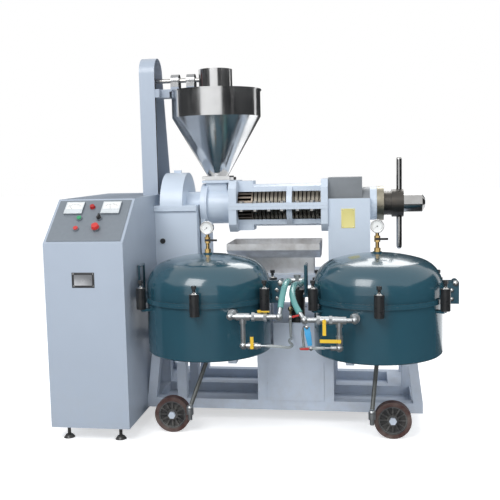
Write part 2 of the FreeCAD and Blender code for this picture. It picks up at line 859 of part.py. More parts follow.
def make_switches():
    """Two push buttons, a selector and an emergency stop with a mushroom head."""
    spots = switch_places()
    base = "panel_thickness + mushroom_travel + gap"
    rim = "panel_thickness + bezel_height"
    for name in ("start_button", "stop_button"):
        subpart(name, on_console(group(rod("z", "button_radius", base, f"{rim} + button_travel + 1",
                                           spots[name]))))
    x, y = spots["selector_knob"]
    barrel = rod("z", "button_radius", base, f"{rim} + bezel_height", (x, y))
    wing = block((f"{x} - button_radius / 3", f"{x} + button_radius / 3"),
                 (f"{y} - bezel_radius", f"{y} + bezel_radius"),
                 (f"{rim} + button_travel", f"{rim} + 2 * bezel_height"))
    subpart("selector_knob", on_console(group(fused(barrel, wing))))
    spot = spots["emergency_stop"]
    stem = rod("z", "button_radius", base, f"{rim} + 2 * mushroom_travel", spot)
    under = f"{rim} + mushroom_travel + 1"
    head = cone("z", ("mushroom_radius", "mushroom_radius * 0.8"), under,
                f"{under} + mushroom_radius * 0.7", spot)
    subpart("emergency_stop", on_console(group(fused(stem, head))))


def make_drive_motor():
    """Foot-mounted motor on its stand inside the cabinet."""
    centre = ("0", "motor_axis_height")
    body = rod("x", "motor_radius", "motor_left", "motor_right", centre)
    stand = block(("motor_left", "motor_right"), ("-motor_radius", "motor_radius"),
                  ("cabinet_bottom + cabinet_wall", "motor_axis_height - motor_radius * 0.8"))
    bore = rod("x", "motor_shaft_radius + running_fit", "motor_right - 2 * motor_radius / 3",
               "motor_right + motor_shaft_radius", centre)
    return subpart("drive_motor", cut(fused(body, stand), bore))


def pulley(radius, height):
    """A belt pulley with a rim between two flanges."""
    half = "belt_pitch * 1.5 + 2"
    middle = rod("x", radius, f"belt_plane - {half}", f"belt_plane + {half}", ("0", height))
    flanges = [rod("x", f"{radius} + belt_thickness", f"belt_plane {sign} ({half}) - 2",
                   f"belt_plane {sign} ({half}) + 2", ("0", height))
               for sign in ("-", "+")]
    return fused(middle, *flanges)


def make_motor_pulley():
    """Motor shaft with the small belt pulley."""
    shaft = rod("x", "motor_shaft_radius", "motor_right - motor_radius / 2", "belt_plane + 2 * belt_pitch",
                ("0", "motor_axis_height"))
    return subpart("motor_pulley", fused(shaft, pulley("motor_pulley_radius", "motor_axis_height")))


def loop(lower, upper, centre_distance, thickness, width):
    """A closed band round two wheels, drawn in YZ about the lower one and width wide along X."""
    lean = math.asin((upper - lower) / centre_distance)
    def ring(offset):
        low, high = lower + offset, upper + offset
        points = []
        for side in (1, -1):
            normal = Vector(0, side * math.cos(lean), -math.sin(lean))
            points.append((normal * low, Vector(0, 0, centre_distance) + normal * high))
        (right_low, right_high), (left_low, left_high) = points
        top = Vector(0, 0, centre_distance + high)
        edges = [Part.LineSegment(right_low, right_high), Part.Arc(right_high, top, left_high),
                 Part.LineSegment(left_high, left_low), Part.Arc(left_low, Vector(0, 0, -low), right_low)]
        return Part.Face(Part.Wire([edge.toShape() for edge in edges]))
    return ring(thickness).cut(ring(0)).extrude(Vector(width, 0, 0))


def make_drive_belts():
    """Three belts from the motor to the gearbox."""
    gap = size("gap")
    low = size("motor_axis_height")
    high = input_level()
    belts = []
    for index in (-1, 0, 1):
        belt = loop(size("motor_pulley_radius") + gap, size("big_pulley_radius") + gap, high - low,
                    size("belt_thickness"), size("belt_width"))
        belt.translate(Vector(size("belt_plane") + index * size("belt_pitch") - size("belt_width") / 2, 0,
                              low))
        belts.append(belt)
    return subpart("drive_belts", fixed(Part.makeCompound(belts)))


def make_feed_chain():
    """Chain from the gearbox shaft up to the hopper's feed shaft."""
    gap = size("gap")
    low = input_level()
    chain = loop(size("drive_sprocket_radius") + gap, size("feed_sprocket_radius") + gap,
                 feed_level() - low, size("chain_thickness"), size("chain_width"))
    chain.translate(Vector(size("chain_plane") - size("chain_width") / 2, 0, low))
    return subpart("feed_chain", fixed(chain))


def gear_blank(pitch_radius, teeth, phase):
    """A spur gear with straight-sided teeth, slimmer than their gaps so that they run free."""
    module = 2 * pitch_radius / teeth
    outer = pitch_radius + 0.75 * module
    inner = pitch_radius - 0.95 * module
    step = 2 * math.pi / teeth
    corners = []
    for tooth in range(teeth):
        for radius, share in ((inner, -0.30), (outer, -0.13), (outer, 0.13), (inner, 0.30)):
            angle = phase + (tooth + share) * step
            corners.append(Vector(0, radius * math.cos(angle), radius * math.sin(angle)))
    face = Part.Face(Part.makePolygon(corners + corners[:1]))
    blank = face.extrude(Vector(size("gear_width"), 0, 0))
    blank.translate(Vector(size("gear_centre") - size("gear_width") / 2, 0, 0))
    return blank


def make_bull_gear():
    """The large gear keyed on the worm shaft."""
    blank = gear_blank(size("bull_pitch_radius"), 40, math.pi / 2)
    blank.translate(Vector(0, 0, axis_level()))
    bore = rod("x", "worm_journal_radius", "gear_centre - gear_width", "gear_centre + gear_width",
               ("0", "axis_height"))
    return subpart("bull_gear", cut(fixed(blank), bore))


def make_input_shaft():
    """Gearbox input shaft with its pinion, belt pulley and chain sprocket."""
    centre = ("0", "input_height")
    shaft = rod("x", "input_journal_radius", "belt_plane - 2 * belt_pitch",
                "gearbox_right - gearbox_wall - 1", centre)
    pinion = gear_blank(size("pinion_pitch_radius"), 15, math.pi / 2 + math.pi / 15)
    height = input_level()
    pinion.translate(Vector(0, 0, height))
    sprocket = rod("x", "drive_sprocket_radius", "chain_plane - sprocket_width / 2",
                   "chain_plane + sprocket_width / 2", centre)
    return subpart("input_shaft",
                   fused(shaft, fixed(pinion), pulley("big_pulley_radius", "input_height"), sprocket))


def make_gearbox_lower_case():
    """Lower gearbox casting, open at the top, with bores for both shafts."""
    wall = "gearbox_wall"
    half = "gearbox_half_depth"
    x = ("gearbox_left", "gearbox_right")
    split = "axis_height - gap / 2"
    outer = block(x, (f"-{half}", half), ("table_height", split))
    flange = block(x, (f"-{half} - gearbox_flange", f"{half} + gearbox_flange"),
                   (f"{split} - gearbox_flange_height", split))
    inner = block((f"gearbox_left + {wall}", f"gearbox_right - {wall}"),
                  (f"-{half} + {wall}", f"{half} - {wall}"),
                  (f"table_height + {wall}", "axis_height + 1"))
    boss = rod("x", "boss_radius", "cover_right", "chamber_left - gap", ("0", "axis_height"))
    boss_half = cut(boss,
                    block(("cover_right - 1", "chamber_left + 1"), ("-boss_radius - 1", "boss_radius + 1"),
                                (split, "axis_height + boss_radius + 1")))
    plug = rod("y", "sight_plug_radius", f"-{half} - sight_plug_radius / 2", f"-{half} + 1",
               ("gearbox_left + 40", "table_height + 190"))
    webs = [block(sides, (f"-{half}", half), ("axis_height - 2 * worm_bearing_radius", split))
            for sides in (("cover_left", f"cover_left + {wall}"), (f"cover_right - {wall}", "cover_right"))]
    bore = rod("x", "worm_journal_radius + running_fit", f"cover_left + {wall} / 2 - gap",
               "chamber_left + 1", ("0", "axis_height"))
    input_bore = rod("x", "input_journal_radius + running_fit", "gearbox_left - 1",
                     f"gearbox_left + {wall} + 1", ("0", "input_height"))
    return subpart("gearbox_lower_case",
                   cut(fused(cut(fused(outer, flange), inner), boss_half, plug, *webs), bore, input_bore))


def make_gearbox_upper_case():
    """Half-round gearbox cover with its flange, bearing boss and lifting lug."""
    half = "gearbox_half_depth"
    split = "axis_height + gap / 2"
    centre = ("0", "axis_height")
    flange = block(("gearbox_left", "gearbox_right"),
                   (f"-{half} - gearbox_flange", f"{half} + gearbox_flange"),
                   (split, f"{split} + gearbox_flange_height * 0.8"))
    drum = rod("x", "cover_radius", "cover_left", "cover_right", centre)
    boss = rod("x", "boss_radius", "cover_right - 1", "chamber_left - gap", centre)
    lug_x = "(cover_left + cover_right) / 2"
    lug = block((f"{lug_x} - 20", f"{lug_x} + 20"), ("-8", "8"),
                ("axis_height + cover_radius - 6", "axis_height + cover_radius + 14"))
    hollow = rod("x", "cover_radius - gearbox_wall", "cover_left + gearbox_wall",
                 "cover_right - gearbox_wall", centre)
    bore = rod("x", "worm_journal_radius + running_fit", "cover_left + gearbox_wall / 2 - gap",
               "chamber_left + 1", centre)
    lower = block(("gearbox_left - 1", "chamber_left + 1"), ("-cover_radius - 1", "cover_radius + 1"),
                  ("axis_height - cover_radius - 1", split))
    return subpart("gearbox_upper_case", cut(fused(flange, drum, boss, lug), hollow, bore, lower))


def make_shaft_bearings():
    """Roller bearings of the worm shaft and the input shaft, against the gearbox walls."""
    rings = []
    for side, height, radius, journal in (("cover", "axis_height", "worm_bearing_radius",
                                           "worm_journal_radius"),
                                          ("gearbox", "input_height", "input_bearing_radius",
                                           "input_journal_radius")):
        left, right = f"{side}_left + gearbox_wall", f"{side}_right - gearbox_wall"
        for start, end in ((left, f"{left} + bearing_thickness"), (f"{right} - bearing_thickness", right)):
            rings.append(tube("x", radius, f"{journal} + running_fit", start, end, ("0", height)))
    return subpart("shaft_bearings", group(*rings))


def guard_section(inset):
    """The side outline of the chain guard below its arch."""
    return [(f"guard_front + {inset}", "cabinet_top"), (f"guard_back - {inset}", "cabinet_top"),
            (f"guard_arch_radius - {inset}", "guard_arch_height"),
            (f"guard_front + {inset}", "guard_arch_height")]


def make_chain_guard():
    """Tall arched guard on the cabinet, open towards the hopper."""
    width = "cabinet_right - guard_left"
    base = "cabinet_top"
    centre = ("0", "guard_arch_height")
    outer = fused(plate("YZ_Plane", guard_section("0"), width, x="guard_left"),
                  rod("x", "guard_arch_radius", "guard_left", "cabinet_right", centre))
    depth = f"{width} - guard_wall + 1"
    inner = fused(plate("YZ_Plane", guard_section("guard_wall"), depth, x="guard_left + guard_wall"),
                  rod("x", "guard_arch_radius - guard_wall", "guard_left + guard_wall", "cabinet_right + 1",
                      centre))
    foot = block(("guard_left", "cabinet_right"), ("guard_front", "guard_back"),
                 (base, f"{base} + guard_wall"))
    foot_slot = block(("guard_left + 2 * guard_wall", "cabinet_right - 3 * cabinet_wall"),
                      ("-guard_arch_radius + 2 * guard_wall", "guard_arch_radius - 2 * guard_wall"),
                      (f"{base} - 1", f"{base} + 2 * guard_wall"))
    return subpart("chain_guard", cut(fused(cut(outer, inner), foot), foot_slot))


def make_feed_bearings():
    """Bracket from the guard over the hopper's rim, with two pillow blocks."""
    head_side = "feed_x - head_radius - gap"
    hopper_side = "feed_x - hopper_radius - hopper_bead - gap"
    depth = ("-bracket_half_depth", "bracket_half_depth")
    top = "bracket_top"
    start = "cabinet_right + bracket_plate"
    shelf = block((start, head_side), depth, (f"{top} - bracket_plate", top))
    web = block((start, hopper_side), depth,
                (f"{top} - bracket_plate - bracket_web", f"{top} - bracket_plate + 1"))
    arm = block(("cabinet_right - bracket_plate", f"{start} + bracket_plate"),
                ("guard_front + guard_wall", "bracket_half_depth"),
                (f"{top} - bracket_plate - bracket_web", top))
    pieces = [shelf, web, arm]
    for x in ("feed_bearing_left", "feed_bearing_right"):
        along = (f"{x} - feed_bearing_length / 2", f"{x} + feed_bearing_length / 2")
        pieces.append(rod("x", "feed_bearing_radius", *along, ("0", "feed_axis_height")))
        pieces.append(block(along, ("-feed_bearing_radius", "feed_bearing_radius"),
                            (top, "feed_axis_height - feed_bearing_radius / 3")))
    bore = rod("x", "feed_shaft_radius + running_fit", "feed_bearing_left - feed_bearing_length",
               "feed_bearing_right + feed_bearing_length",
               ("0", "feed_axis_height"))
    return subpart("feed_bearings", cut(fused(*pieces), bore))


def make_feed_shaft():
    """Feed shaft with its sprocket and bevel pinion."""
    centre = ("0", "feed_axis_height")
    end = "feed_x - bevel_wheel_radius * 0.6"
    shaft = rod("x", "feed_shaft_radius", "chain_plane - chain_width", end, centre)
    sprocket = rod("x", "feed_sprocket_radius", "chain_plane - sprocket_width / 2",
                   "chain_plane + sprocket_width / 2", centre)
    pinion = cone("x", ("bevel_pinion_radius - gap", "bevel_pinion_radius * 0.6 - gap"),
                  "feed_x - bevel_wheel_radius", end, centre)
    return subpart("feed_shaft", fused(shaft, sprocket, pinion))


def make_hopper():
    """Round feed hopper with a beaded rim, a cone and a square flange over the gate."""
    wall = "hopper_wall"
    rim, seam, neck = "hopper_rim_height", "hopper_seam_height", "hopper_neck_height"
    shell = spun([
        ("hopper_neck_radius", neck), ("hopper_radius", seam), ("hopper_radius", rim),
        (f"hopper_radius - {wall}", rim), (f"hopper_radius - {wall}", f"{seam} + {wall} / 2"),
        (f"hopper_neck_radius - {wall}", neck),
    ], x="feed_x")
    bead = spun([
        ("hopper_radius - hopper_wall / 2", f"{rim} - hopper_bead"),
        ("hopper_radius + hopper_bead", f"{rim} - hopper_bead"),
        ("hopper_radius + hopper_bead", rim), ("hopper_radius - hopper_wall / 2", rim),
    ], x="feed_x")
    half = "feed_flange / 2"
    flange = block((f"feed_x - {half}", f"feed_x + {half}"), (f"-{half}", half),
                   ("hopper_flange_bottom", f"{neck} + 1"))
    bore = rod("z", f"hopper_neck_radius - {wall}", "hopper_flange_bottom - 1", f"{neck} + 2",
               ("feed_x", "0"))
    return subpart("hopper", fused(shell, bead, cut(flange, bore)))


def make_hopper_head():
    """Drive head on a crossbar over the hopper, round the bevel gears."""
    centre = ("feed_x", "0")
    floor = "hopper_rim_height"
    reach = "sqrt(pow(hopper_radius - hopper_wall - gap; 2) - pow(crossbar_half_width; 2))"
    bar = block(("feed_x - crossbar_half_width", "feed_x + crossbar_half_width"), (f"-({reach})", reach),
                (f"{floor} - crossbar_thickness", floor))
    drum = rod("z", "head_radius", f"{floor} - crossbar_thickness", "head_top", centre)
    hollow = rod("z", "head_radius - head_wall", f"{floor} + gap", "head_top - head_wall", centre)
    shaft_bore = rod("z", "agitator_radius + running_fit", f"{floor} - 2 * crossbar_thickness",
                     f"{floor} + crossbar_thickness", centre)
    side_bore = rod("x", "feed_shaft_radius + running_fit", "feed_x - head_radius - 1", "feed_x",
                    ("0", "feed_axis_height"))
    return subpart("hopper_head", cut(fused(bar, drum), hollow, shaft_bore, side_bore))


def make_agitator():
    """Upright shaft in the hopper with its bevel wheel and two pairs of paddles."""
    centre = ("feed_x", "0")
    base = "bevel_wheel_base"
    shaft = rod("z", "agitator_radius", "agitator_end", f"{base} + 1", centre)
    wheel = cone("z", ("bevel_wheel_radius - gap", "bevel_wheel_radius * 0.6 - gap"), base,
                 f"{base} + bevel_pinion_radius * 0.4 - 2 * gap", centre)
    collar = rod("z", "agitator_radius * 2", "hopper_rim_height + 1", base, centre)
    upper = block(("feed_x - upper_paddle", "feed_x + upper_paddle"), ("-4", "4"),
                  ("upper_paddle_height", "upper_paddle_height + 28"))
    lower = block(("feed_x - 4", "feed_x + 4"), ("-lower_paddle", "lower_paddle"),
                  ("lower_paddle_height", "lower_paddle_height + 22"))
    return subpart("agitator", fused(shaft, collar, wheel, upper, lower))


def make_slide_gate():
    """Gate plate between the two feed flanges, with its grip on the cage side."""
    half = "feed_flange / 2"
    sheet = block(("feed_x - hopper_neck_radius - 6", f"feed_x + {half}"),
                  ("-gate_half_width - 10", "gate_half_width + 10"),
                  ("gate_bottom", "gate_bottom + gate_thickness"))
    grip = block((f"feed_x + {half} + gap", f"feed_x + {half} + gate_grip"),
                 ("-gate_half_width", "gate_half_width"),
                 ("gate_bottom - 1", "gate_bottom + gate_grip * 0.8"))
    web = block((f"feed_x + {half} - 1", f"feed_x + {half} + gate_grip / 2"),
                ("-gate_half_width", "gate_half_width"),
                ("gate_bottom", "gate_bottom + gate_thickness"))
    return subpart("slide_gate", fused(sheet, grip, web))


def make_feed_chamber():
    """Cast chamber round the start of the worm: flange, barrel, square neck and foot."""
    centre = ("0", "axis_height")
    flange = rod("x", "chamber_flange_radius", "chamber_left", "chamber_left + chamber_flange", centre)
    barrel = rod("x", "chamber_radius", "chamber_left", "chamber_right", centre)
    half = "neck_outside / 2"
    top = "chamber_flange_top"
    neck = block((f"feed_x - {half}", f"feed_x + {half}"), (f"-{half}", half), ("axis_height", top))
    edge = "feed_flange / 2"
    upper = block((f"feed_x - {edge}", f"feed_x + {edge}"), (f"-{edge}", edge),
                  (f"{top} - feed_flange_thickness", top))
    foot = block(("chamber_left", "chamber_left + chamber_foot_thickness"),
                 ("-chamber_foot_half_depth", "chamber_foot_half_depth"),
                 ("table_height", "axis_height"))
    bore = rod("x", "chamber_bore", "chamber_left - 1", "chamber_right + 1", centre)
    hole = "neck_inside / 2"
    way_in = block((f"feed_x - {hole}", f"feed_x + {hole}"), (f"-{hole}", hole),
                   ("axis_height", f"{top} + 1"))
    return subpart("feed_chamber", cut(fused(flange, barrel, neck, upper, foot), bore, way_in))


def cage_bolt_places():
    """Bolt positions along the cage joint."""
    return [f"cage_left + (cage_right - cage_left) * {share}" for share in (0.13, 0.27, 0.41, 0.54, 0.70,
                                                                            0.84)]


def make_cage_half(label, sign):
    """One half of the pressing cage: end plates, ring, shell with windows, ribs and joint bars."""
    centre = ("0", "axis_height")
    split = f"axis_height {sign} gap / 2"
    def level(offset):
        return f"axis_height {sign} ({offset})"
    def span(near, far):
        return (level(near), level(far)) if sign == "+" else (level(far), level(near))
    half = "cage_plate_half"
    plates = []
    for left, right in (("cage_left", "cage_left + cage_left_plate"),
                        ("cage_right - cage_right_plate", "cage_right")):
        slab = block((left, right), (f"-{half}", half), span("0", half))
        corner = rod("x", f"{half} * 1.22", f"{left} - 1", f"{right} + 1", centre)
        rounded = DOC.addObject("Part::Common", "Rounded")
        rounded.Base = slab
        rounded.Tool = corner
        plates.append(rounded)
    shell = rod("x", "cage_shell_radius", "cage_left + 1", "cage_right - 1", centre)
    rib_top = span("cage_bore", "rib_step_height")
    step = block(("cage_left + 1", "rib_step_end"), ("-rib_half_width", "rib_half_width"), rib_top)
    bars = [block(("cage_left", "cage_right"), limits, span("0", "joint_bar_thickness"))
            for limits in (("-joint_bar_outer", "-joint_bar_inner"),
                           ("joint_bar_inner", "joint_bar_outer"))]
    windows = []
    for left, right in (("cage_left + cage_left_plate", "cage_ring_left"),
                        ("cage_ring_right", "cage_right - cage_right_plate")):
        for limits in (("-cage_shell_radius - 1", "-rib_half_width"),
                       ("rib_half_width", "cage_shell_radius + 1")):
            windows.append(block((left, right), limits, span("joint_bar_thickness", "cage_shell_radius")))
    other = block(("cage_left - 1", "cage_right + 1"), ("-2 * cage_plate_half", "2 * cage_plate_half"),
                  (f"axis_height - 2 * {half}", split) if sign == "+" else (split,
                                                                            f"axis_height + 2 * {half}"))
    bore = rod("x", "cage_bore + gap", "cage_left - 1", "cage_right + 1", centre)
    holes = [rod("z", "cage_bolt_radius + gap", "axis_height - 2 * joint_bar_thickness",
                 "axis_height + 2 * joint_bar_thickness", (x, y))
             for x in cage_bolt_places() for y in ("-cage_bolt_row", "cage_bolt_row")]
    body = fused(cut(fused(shell, step), *windows), *plates, *bars)
    return subpart(label, cut(body, bore, other, *holes))


def make_cage_bolts():
    """Bolts and nuts along both joint bars of the cage."""
    bolts = []
    for x in cage_bolt_places():
        for y in ("-cage_bolt_row", "cage_bolt_row"):
            top = "axis_height + joint_bar_thickness + gap / 2"
            bottom = "axis_height - joint_bar_thickness - gap / 2"
            shank = rod("z", "cage_bolt_radius", f"{bottom} - cage_bolt_radius",
                        f"{top} + cage_bolt_radius", (x, y))
            head = hexagon("z", "cage_bolt_head", top, f"{top} + cage_bolt_radius * 1.2", (x, y))
            nut = hexagon("z", "cage_bolt_head", f"{bottom} - cage_bolt_radius * 1.2", bottom, (x, y))
            bolts.append(fused(shank, head, nut))
    return subpart("cage_bolts", group(*bolts))


def make_cage_bars():
    """Lining bars of the first cage section, with drain slits between them."""
    start, end = "cage_left + gap", "bar_section_end"
    outer, inner = "cage_bore", "lining_bore"
    count = int(size("bar_count"))
    bars = []
    for index in range(count):
        turn = 360 / count * index
        thick = "(lining_bore * 2 * 3.1416 / bar_count - bar_slit) / 2"
        bar = block((start, end), (f"-{thick}", thick), (inner, f"{outer} - 2"))
        holder = group(bar)
        holder.Placement = FreeCAD.Placement(Vector(), FreeCAD.Rotation(Vector(1, 0, 0), turn))
        bars.append(place(holder, z="axis_height"))
    hoops = [tube("x", outer, f"{outer} - 5", low, high, ("0", "axis_height"))
             for low, high in ((start, f"{start} + 8"), (f"{end} - 8", end))]
    return subpart("cage_bars", fused(*bars, *hoops))


def make_press_rings():
    """Lining rings of the rest of the cage, spaced for the oil to run out."""
    outer, inner = size("cage_bore"), size("lining_bore")
    thick, space = size("ring_thickness"), size("ring_gap")
    start, end = size("bar_section_end") + space, size("cage_right")
    count = int((end - start) / (thick + space))
    rings = []
    for index in range(count):
        low = start + index * (thick + space)
        ring = Part.makeCylinder(outer, thick, Vector(low, 0, 0), Vector(1, 0, 0))
        spacer = Part.makeCylinder(outer - 26, space, Vector(low - space, 0, 0), Vector(1, 0, 0))
        bore = Part.makeCylinder(inner, thick + 2 * space, Vector(low - space, 0, 0), Vector(1, 0, 0))
        rings.append(ring.fuse(spacer).cut(bore))
    lining = Part.makeCompound(rings)
    lining.translate(Vector(0, 0, axis_level()))
    return subpart("press_rings", fixed(lining))


def make_worm_shaft():
    """Worm shaft: journal in the gearbox, tapering root with a helical flight, and a tail."""
    centre_z = axis_level()
    start, end = size("worm_start"), size("worm_end")
    radius, pitch = size("worm_flight_radius"), size("worm_pitch")
    low, high = size("worm_root_start"), size("worm_root_end")
    journal = rod("x", "worm_journal_radius", "cover_left + gearbox_wall / 2", "chamber_left + 4",
                  ("0", "axis_height"))
    root = cone("x", ("worm_root_start", "worm_root_end"), "chamber_left + 4", "worm_end",
                ("0", "axis_height"))
    tail = rod("x", "worm_tail_radius", "worm_end", "worm_tail_end", ("0", "axis_height"))
    flight = helical_flight(radius, pitch, end - start - pitch * 0.3, low - 4)
    flight.rotate(Vector(), Vector(0, 1, 0), 90)
    flight.translate(Vector(start, 0, centre_z))
    return subpart("worm_shaft", fused(journal, root, tail, fixed(flight)))


def helical_flight(radius, pitch, length, root):
    """A square-edged helical rib about Z, from z = 0."""
    middle = (radius + root) / 2
    path = Part.makeHelix(pitch, length, middle)
    width = 11
    corners = [Vector(root, 0, 0), Vector(radius, 0, 0), Vector(radius, 0, width), Vector(root, 0, width)]
    profile = Part.makePolygon(corners + corners[:1])
    return Part.Wire(path.Edges).makePipeShell([profile], True, True)


def make_discharge_pedestal():
    """Hollow casting that holds the end of the cage and the screw, open below at the back for the cake."""
    half, wall = "pedestal_half_depth", "pedestal_wall"
    shoulder = "axis_height + pedestal_shoulder"
    top = "axis_height + box_cover_height"
    x = ("pedestal_left", "pedestal_right")
    outer = block(x, (f"-{half}", half), ("table_height", shoulder))
    cover = block(("pedestal_left", "box_cover_right"), ("-box_cover_half_depth", "box_cover_half_depth"),
                  (shoulder, top))
    crown = rod("x", "housing_radius", "box_cover_right - 1", "pedestal_right", ("0", "axis_height"))
    inner = block((f"pedestal_left + {wall}", f"pedestal_right - {wall}"),
                  (f"-{half} + {wall}", f"{half} - {wall}"),
                  (f"table_height + {wall}", f"{shoulder} - {wall}"))
    cover_inner = block((f"pedestal_left + {wall}", f"box_cover_right - {wall}"),
                        (f"-box_cover_half_depth + {wall}", f"box_cover_half_depth - {wall}"),
                        (f"{shoulder} - 2 * {wall}", f"{top} - {wall}"))
    cake_bore = rod("x", "cake_bore", "pedestal_left - 1", f"pedestal_left + {wall} + 1",
                    ("0", "axis_height"))
    housing_bore = rod("x", "housing_spigot + gap", f"box_cover_right - 2 * {wall}", "pedestal_right + 1",
                       ("0", "axis_height"))
    chute = block((f"pedestal_left + {wall}", f"pedestal_right - {wall}"),
                  (f"{half} - 2 * {wall}", f"{half} + 1"),
                  (f"table_height + {wall}", "axis_height - housing_radius - pedestal_wall"))
    return subpart("discharge_pedestal",
                   cut(fused(outer, cover, crown), inner, cover_inner, cake_bore, housing_bore, chute))


def make_bearing_housing():
    """Threaded housing in the pedestal, with the lock ring on the screw."""
    centre = ("0", "axis_height")
    flange = rod("x", "housing_radius", "pedestal_right", "housing_end", centre)
    spigot = rod("x", "housing_spigot", "pedestal_right - pedestal_wall", "pedestal_right + 1", centre)
    bore = rod("x", "screw_bore", "pedestal_right - 2 * pedestal_wall", "housing_end + 1", centre)
    ring = tube("x", "lock_ring_radius", "screw_bore", "housing_end + gap", "lock_ring_end", centre)
    return subpart("bearing_housing", group(cut(fused(flange, spigot), bore), ring))


def make_choke_screw():
    """Adjusting screw: threaded sleeve with a choke nose round the worm's tail and a spigot for the nut."""
    centre = ("0", "axis_height")
    body = rod("x", "screw_radius", "pedestal_right - 2 * pedestal_wall", "screw_end", centre)
    nose = cone("x", ("screw_nose_radius", "screw_radius"), "screw_nose_start",
                "pedestal_right - 2 * pedestal_wall", centre)
    spigot = rod("x", "nut_spigot", "screw_end - 1", "nut_right - 4", centre)
    bore = rod("x", "worm_tail_radius + running_fit", "screw_nose_start - 1", "worm_tail_end + 40", centre)
    grooves = []
    for turn in range(4):
        low = f"lock_ring_end + thread_pitch * ({turn} + 0.75)"
        grooves.append(tube("x", "screw_radius + 1", "screw_radius - thread_depth", low,
                            f"{low} + thread_pitch / 2", centre))
    return subpart("choke_screw", cut(fused(body, nose, spigot), bore, *grooves))


def make_hand_nut():
    """Hub on the screw with two bars and a domed end."""
    centre = ("0", "axis_height")
    hub = rod("x", "nut_radius", "nut_left", "nut_right", centre)
    end = rod("x", "knob_radius", "nut_right - 1", "knob_end - knob_radius / 3", centre)
    dome = cone("x", ("knob_radius", "knob_radius * 0.5"), "knob_end - knob_radius / 3", "knob_end", centre)
    bore = rod("x", "nut_spigot + running_fit", "nut_left - 1", "nut_right - 3", centre)
    bars = [rod("z", "nut_bar_radius", low, high, ("nut_bar_x", "0"))
            for low, high in (("axis_height - nut_bar_reach", "axis_height - nut_spigot - 4"),
                              ("axis_height + nut_spigot + 4", "axis_height + nut_bar_reach"))]
    tips = [ball("nut_bar_radius", "nut_bar_x", "0", f"axis_height {sign} nut_bar_reach") for sign in ("-",
                                                                                                       "+")]
    return subpart("hand_nut", fused(cut(fused(hub, end, dome), bore), *bars, *tips))


def tank_centre(side):
    """The plan centre of one filter tank."""
    return (f"{side}_tank_x", "tank_y")


def make_tank(side):
    """Filter tank: drawn shell with a rim, hinge cheeks, clamp lugs and a drain boss."""
    x, y = tank_centre(side)
    base, top = "tank_bottom", "seam_height"
    shell = spun([
        ("0", base), ("tank_radius - tank_wall", base), ("tank_radius", f"{base} + tank_wall"),
        ("tank_radius", f"{top} - rim_thickness"),
        ("rim_radius", f"{top} - rim_thickness"), ("rim_radius", top), ("tank_radius - tank_wall", top),
        ("tank_radius - tank_wall", f"{base} + tank_wall"), ("0", f"{base} + tank_wall"),
    ], x=x, y=y)
    pieces = [shell]
    for sign in ("-", "+"):
        inner = f"{y} {sign} (hinge_tongue_half + hinge_play)"
        outer = f"{y} {sign} (hinge_tongue_half + hinge_play + hinge_cheek)"
        sides = (outer, inner) if sign == "-" else (inner, outer)
        cheek = block((f"{x} + rim_radius + gap * 2", f"{x} + hinge_reach + hinge_eye_radius"), sides,
                      (f"{top} - rim_radius / 10", "hinge_height"))
        eye = rod("y", "hinge_eye_radius", sides[0], sides[1], (f"{x} + hinge_reach", "hinge_height"))
        root = block((f"{x} + tank_radius - tank_wall / 2", f"{x} + rim_radius + hinge_cheek"), sides,
                     (f"{top} - rim_radius / 10", f"{top} - rim_thickness - 1"))
        pieces.extend([cheek, eye, root])
    for angle in range(30, 390, 60):
        pieces.append(clamp_lug(x, y, angle))
    pin_hole = rod("y", "hinge_pin_radius + running_fit", f"{y} - 3 * hinge_tongue_half",
                   f"{y} + 3 * hinge_tongue_half",
                   (f"{x} + hinge_reach", "hinge_height"))
    drain = rod("z", "drain_radius - 4", f"{base} - 1", f"{base} + 2 * tank_wall", (x, y))
    outlet_x = f"{side}_outlet_x"
    outlet = rod("y", "pipe_radius - 3", f"{side}_pipe_y", "tank_y - tank_radius / 2",
                 (outlet_x, f"{side}_pipe_height"))
    return subpart(f"{side}_tank", cut(fused(*pieces), pin_hole, drain, outlet))


def clamp_lug(x, y, angle):
    """A radial lug under the tank's rim that a clamp stands on."""
    width = "clamp_radius * 0.7"
    lug = block(("tank_radius - tank_wall / 2", "clamp_circle"), (f"-{width}", width),
                ("clamp_bottom - rim_thickness", "clamp_bottom"))
    holder = group(lug)
    holder.Placement = FreeCAD.Placement(Vector(), FreeCAD.Rotation(Vector(0, 0, 1), angle))
    return place(holder, x, y)


def dished_head(inset):
    """A dished head on the origin: a short skirt, a knuckle and a shallow crown, drawn in by an inset."""
    height = size("dome_height")
    knuckle_z, knuckle = height * size("dome_skirt_share"), height * size("dome_knuckle_share")
    knuckle_x = size("tank_radius") - knuckle
    rise = height - knuckle_z
    crown = (knuckle_x ** 2 + rise ** 2 - knuckle ** 2) / (2 * (rise - knuckle))
    crown_z = height - crown
    lean = math.atan2(knuckle_z - crown_z, knuckle_x)
    turn = (lean + math.pi / 2) / 2
    crown, knuckle = crown - inset, knuckle - inset
    side_top = Vector(knuckle_x + knuckle, 0, knuckle_z)
    bend = Vector(knuckle_x + knuckle * math.cos(lean / 2), 0, knuckle_z + knuckle * math.sin(lean / 2))
    join = Vector(crown * math.cos(lean), 0, crown_z + crown * math.sin(lean))
    swell = Vector(crown * math.cos(turn), 0, crown_z + crown * math.sin(turn))
    top = Vector(0, 0, crown_z + crown)
    foot, centre = Vector(knuckle_x + knuckle, 0, 0), Vector()
    profile = [Part.makeLine(centre, foot), Part.makeLine(foot, side_top),
               Part.Arc(side_top, bend, join).toShape(),
               Part.Arc(join, swell, top).toShape(), Part.makeLine(top, centre)]
    return fixed(Part.Face(Part.Wire(profile)).revolve(Vector(), Vector(0, 0, 1), 360))


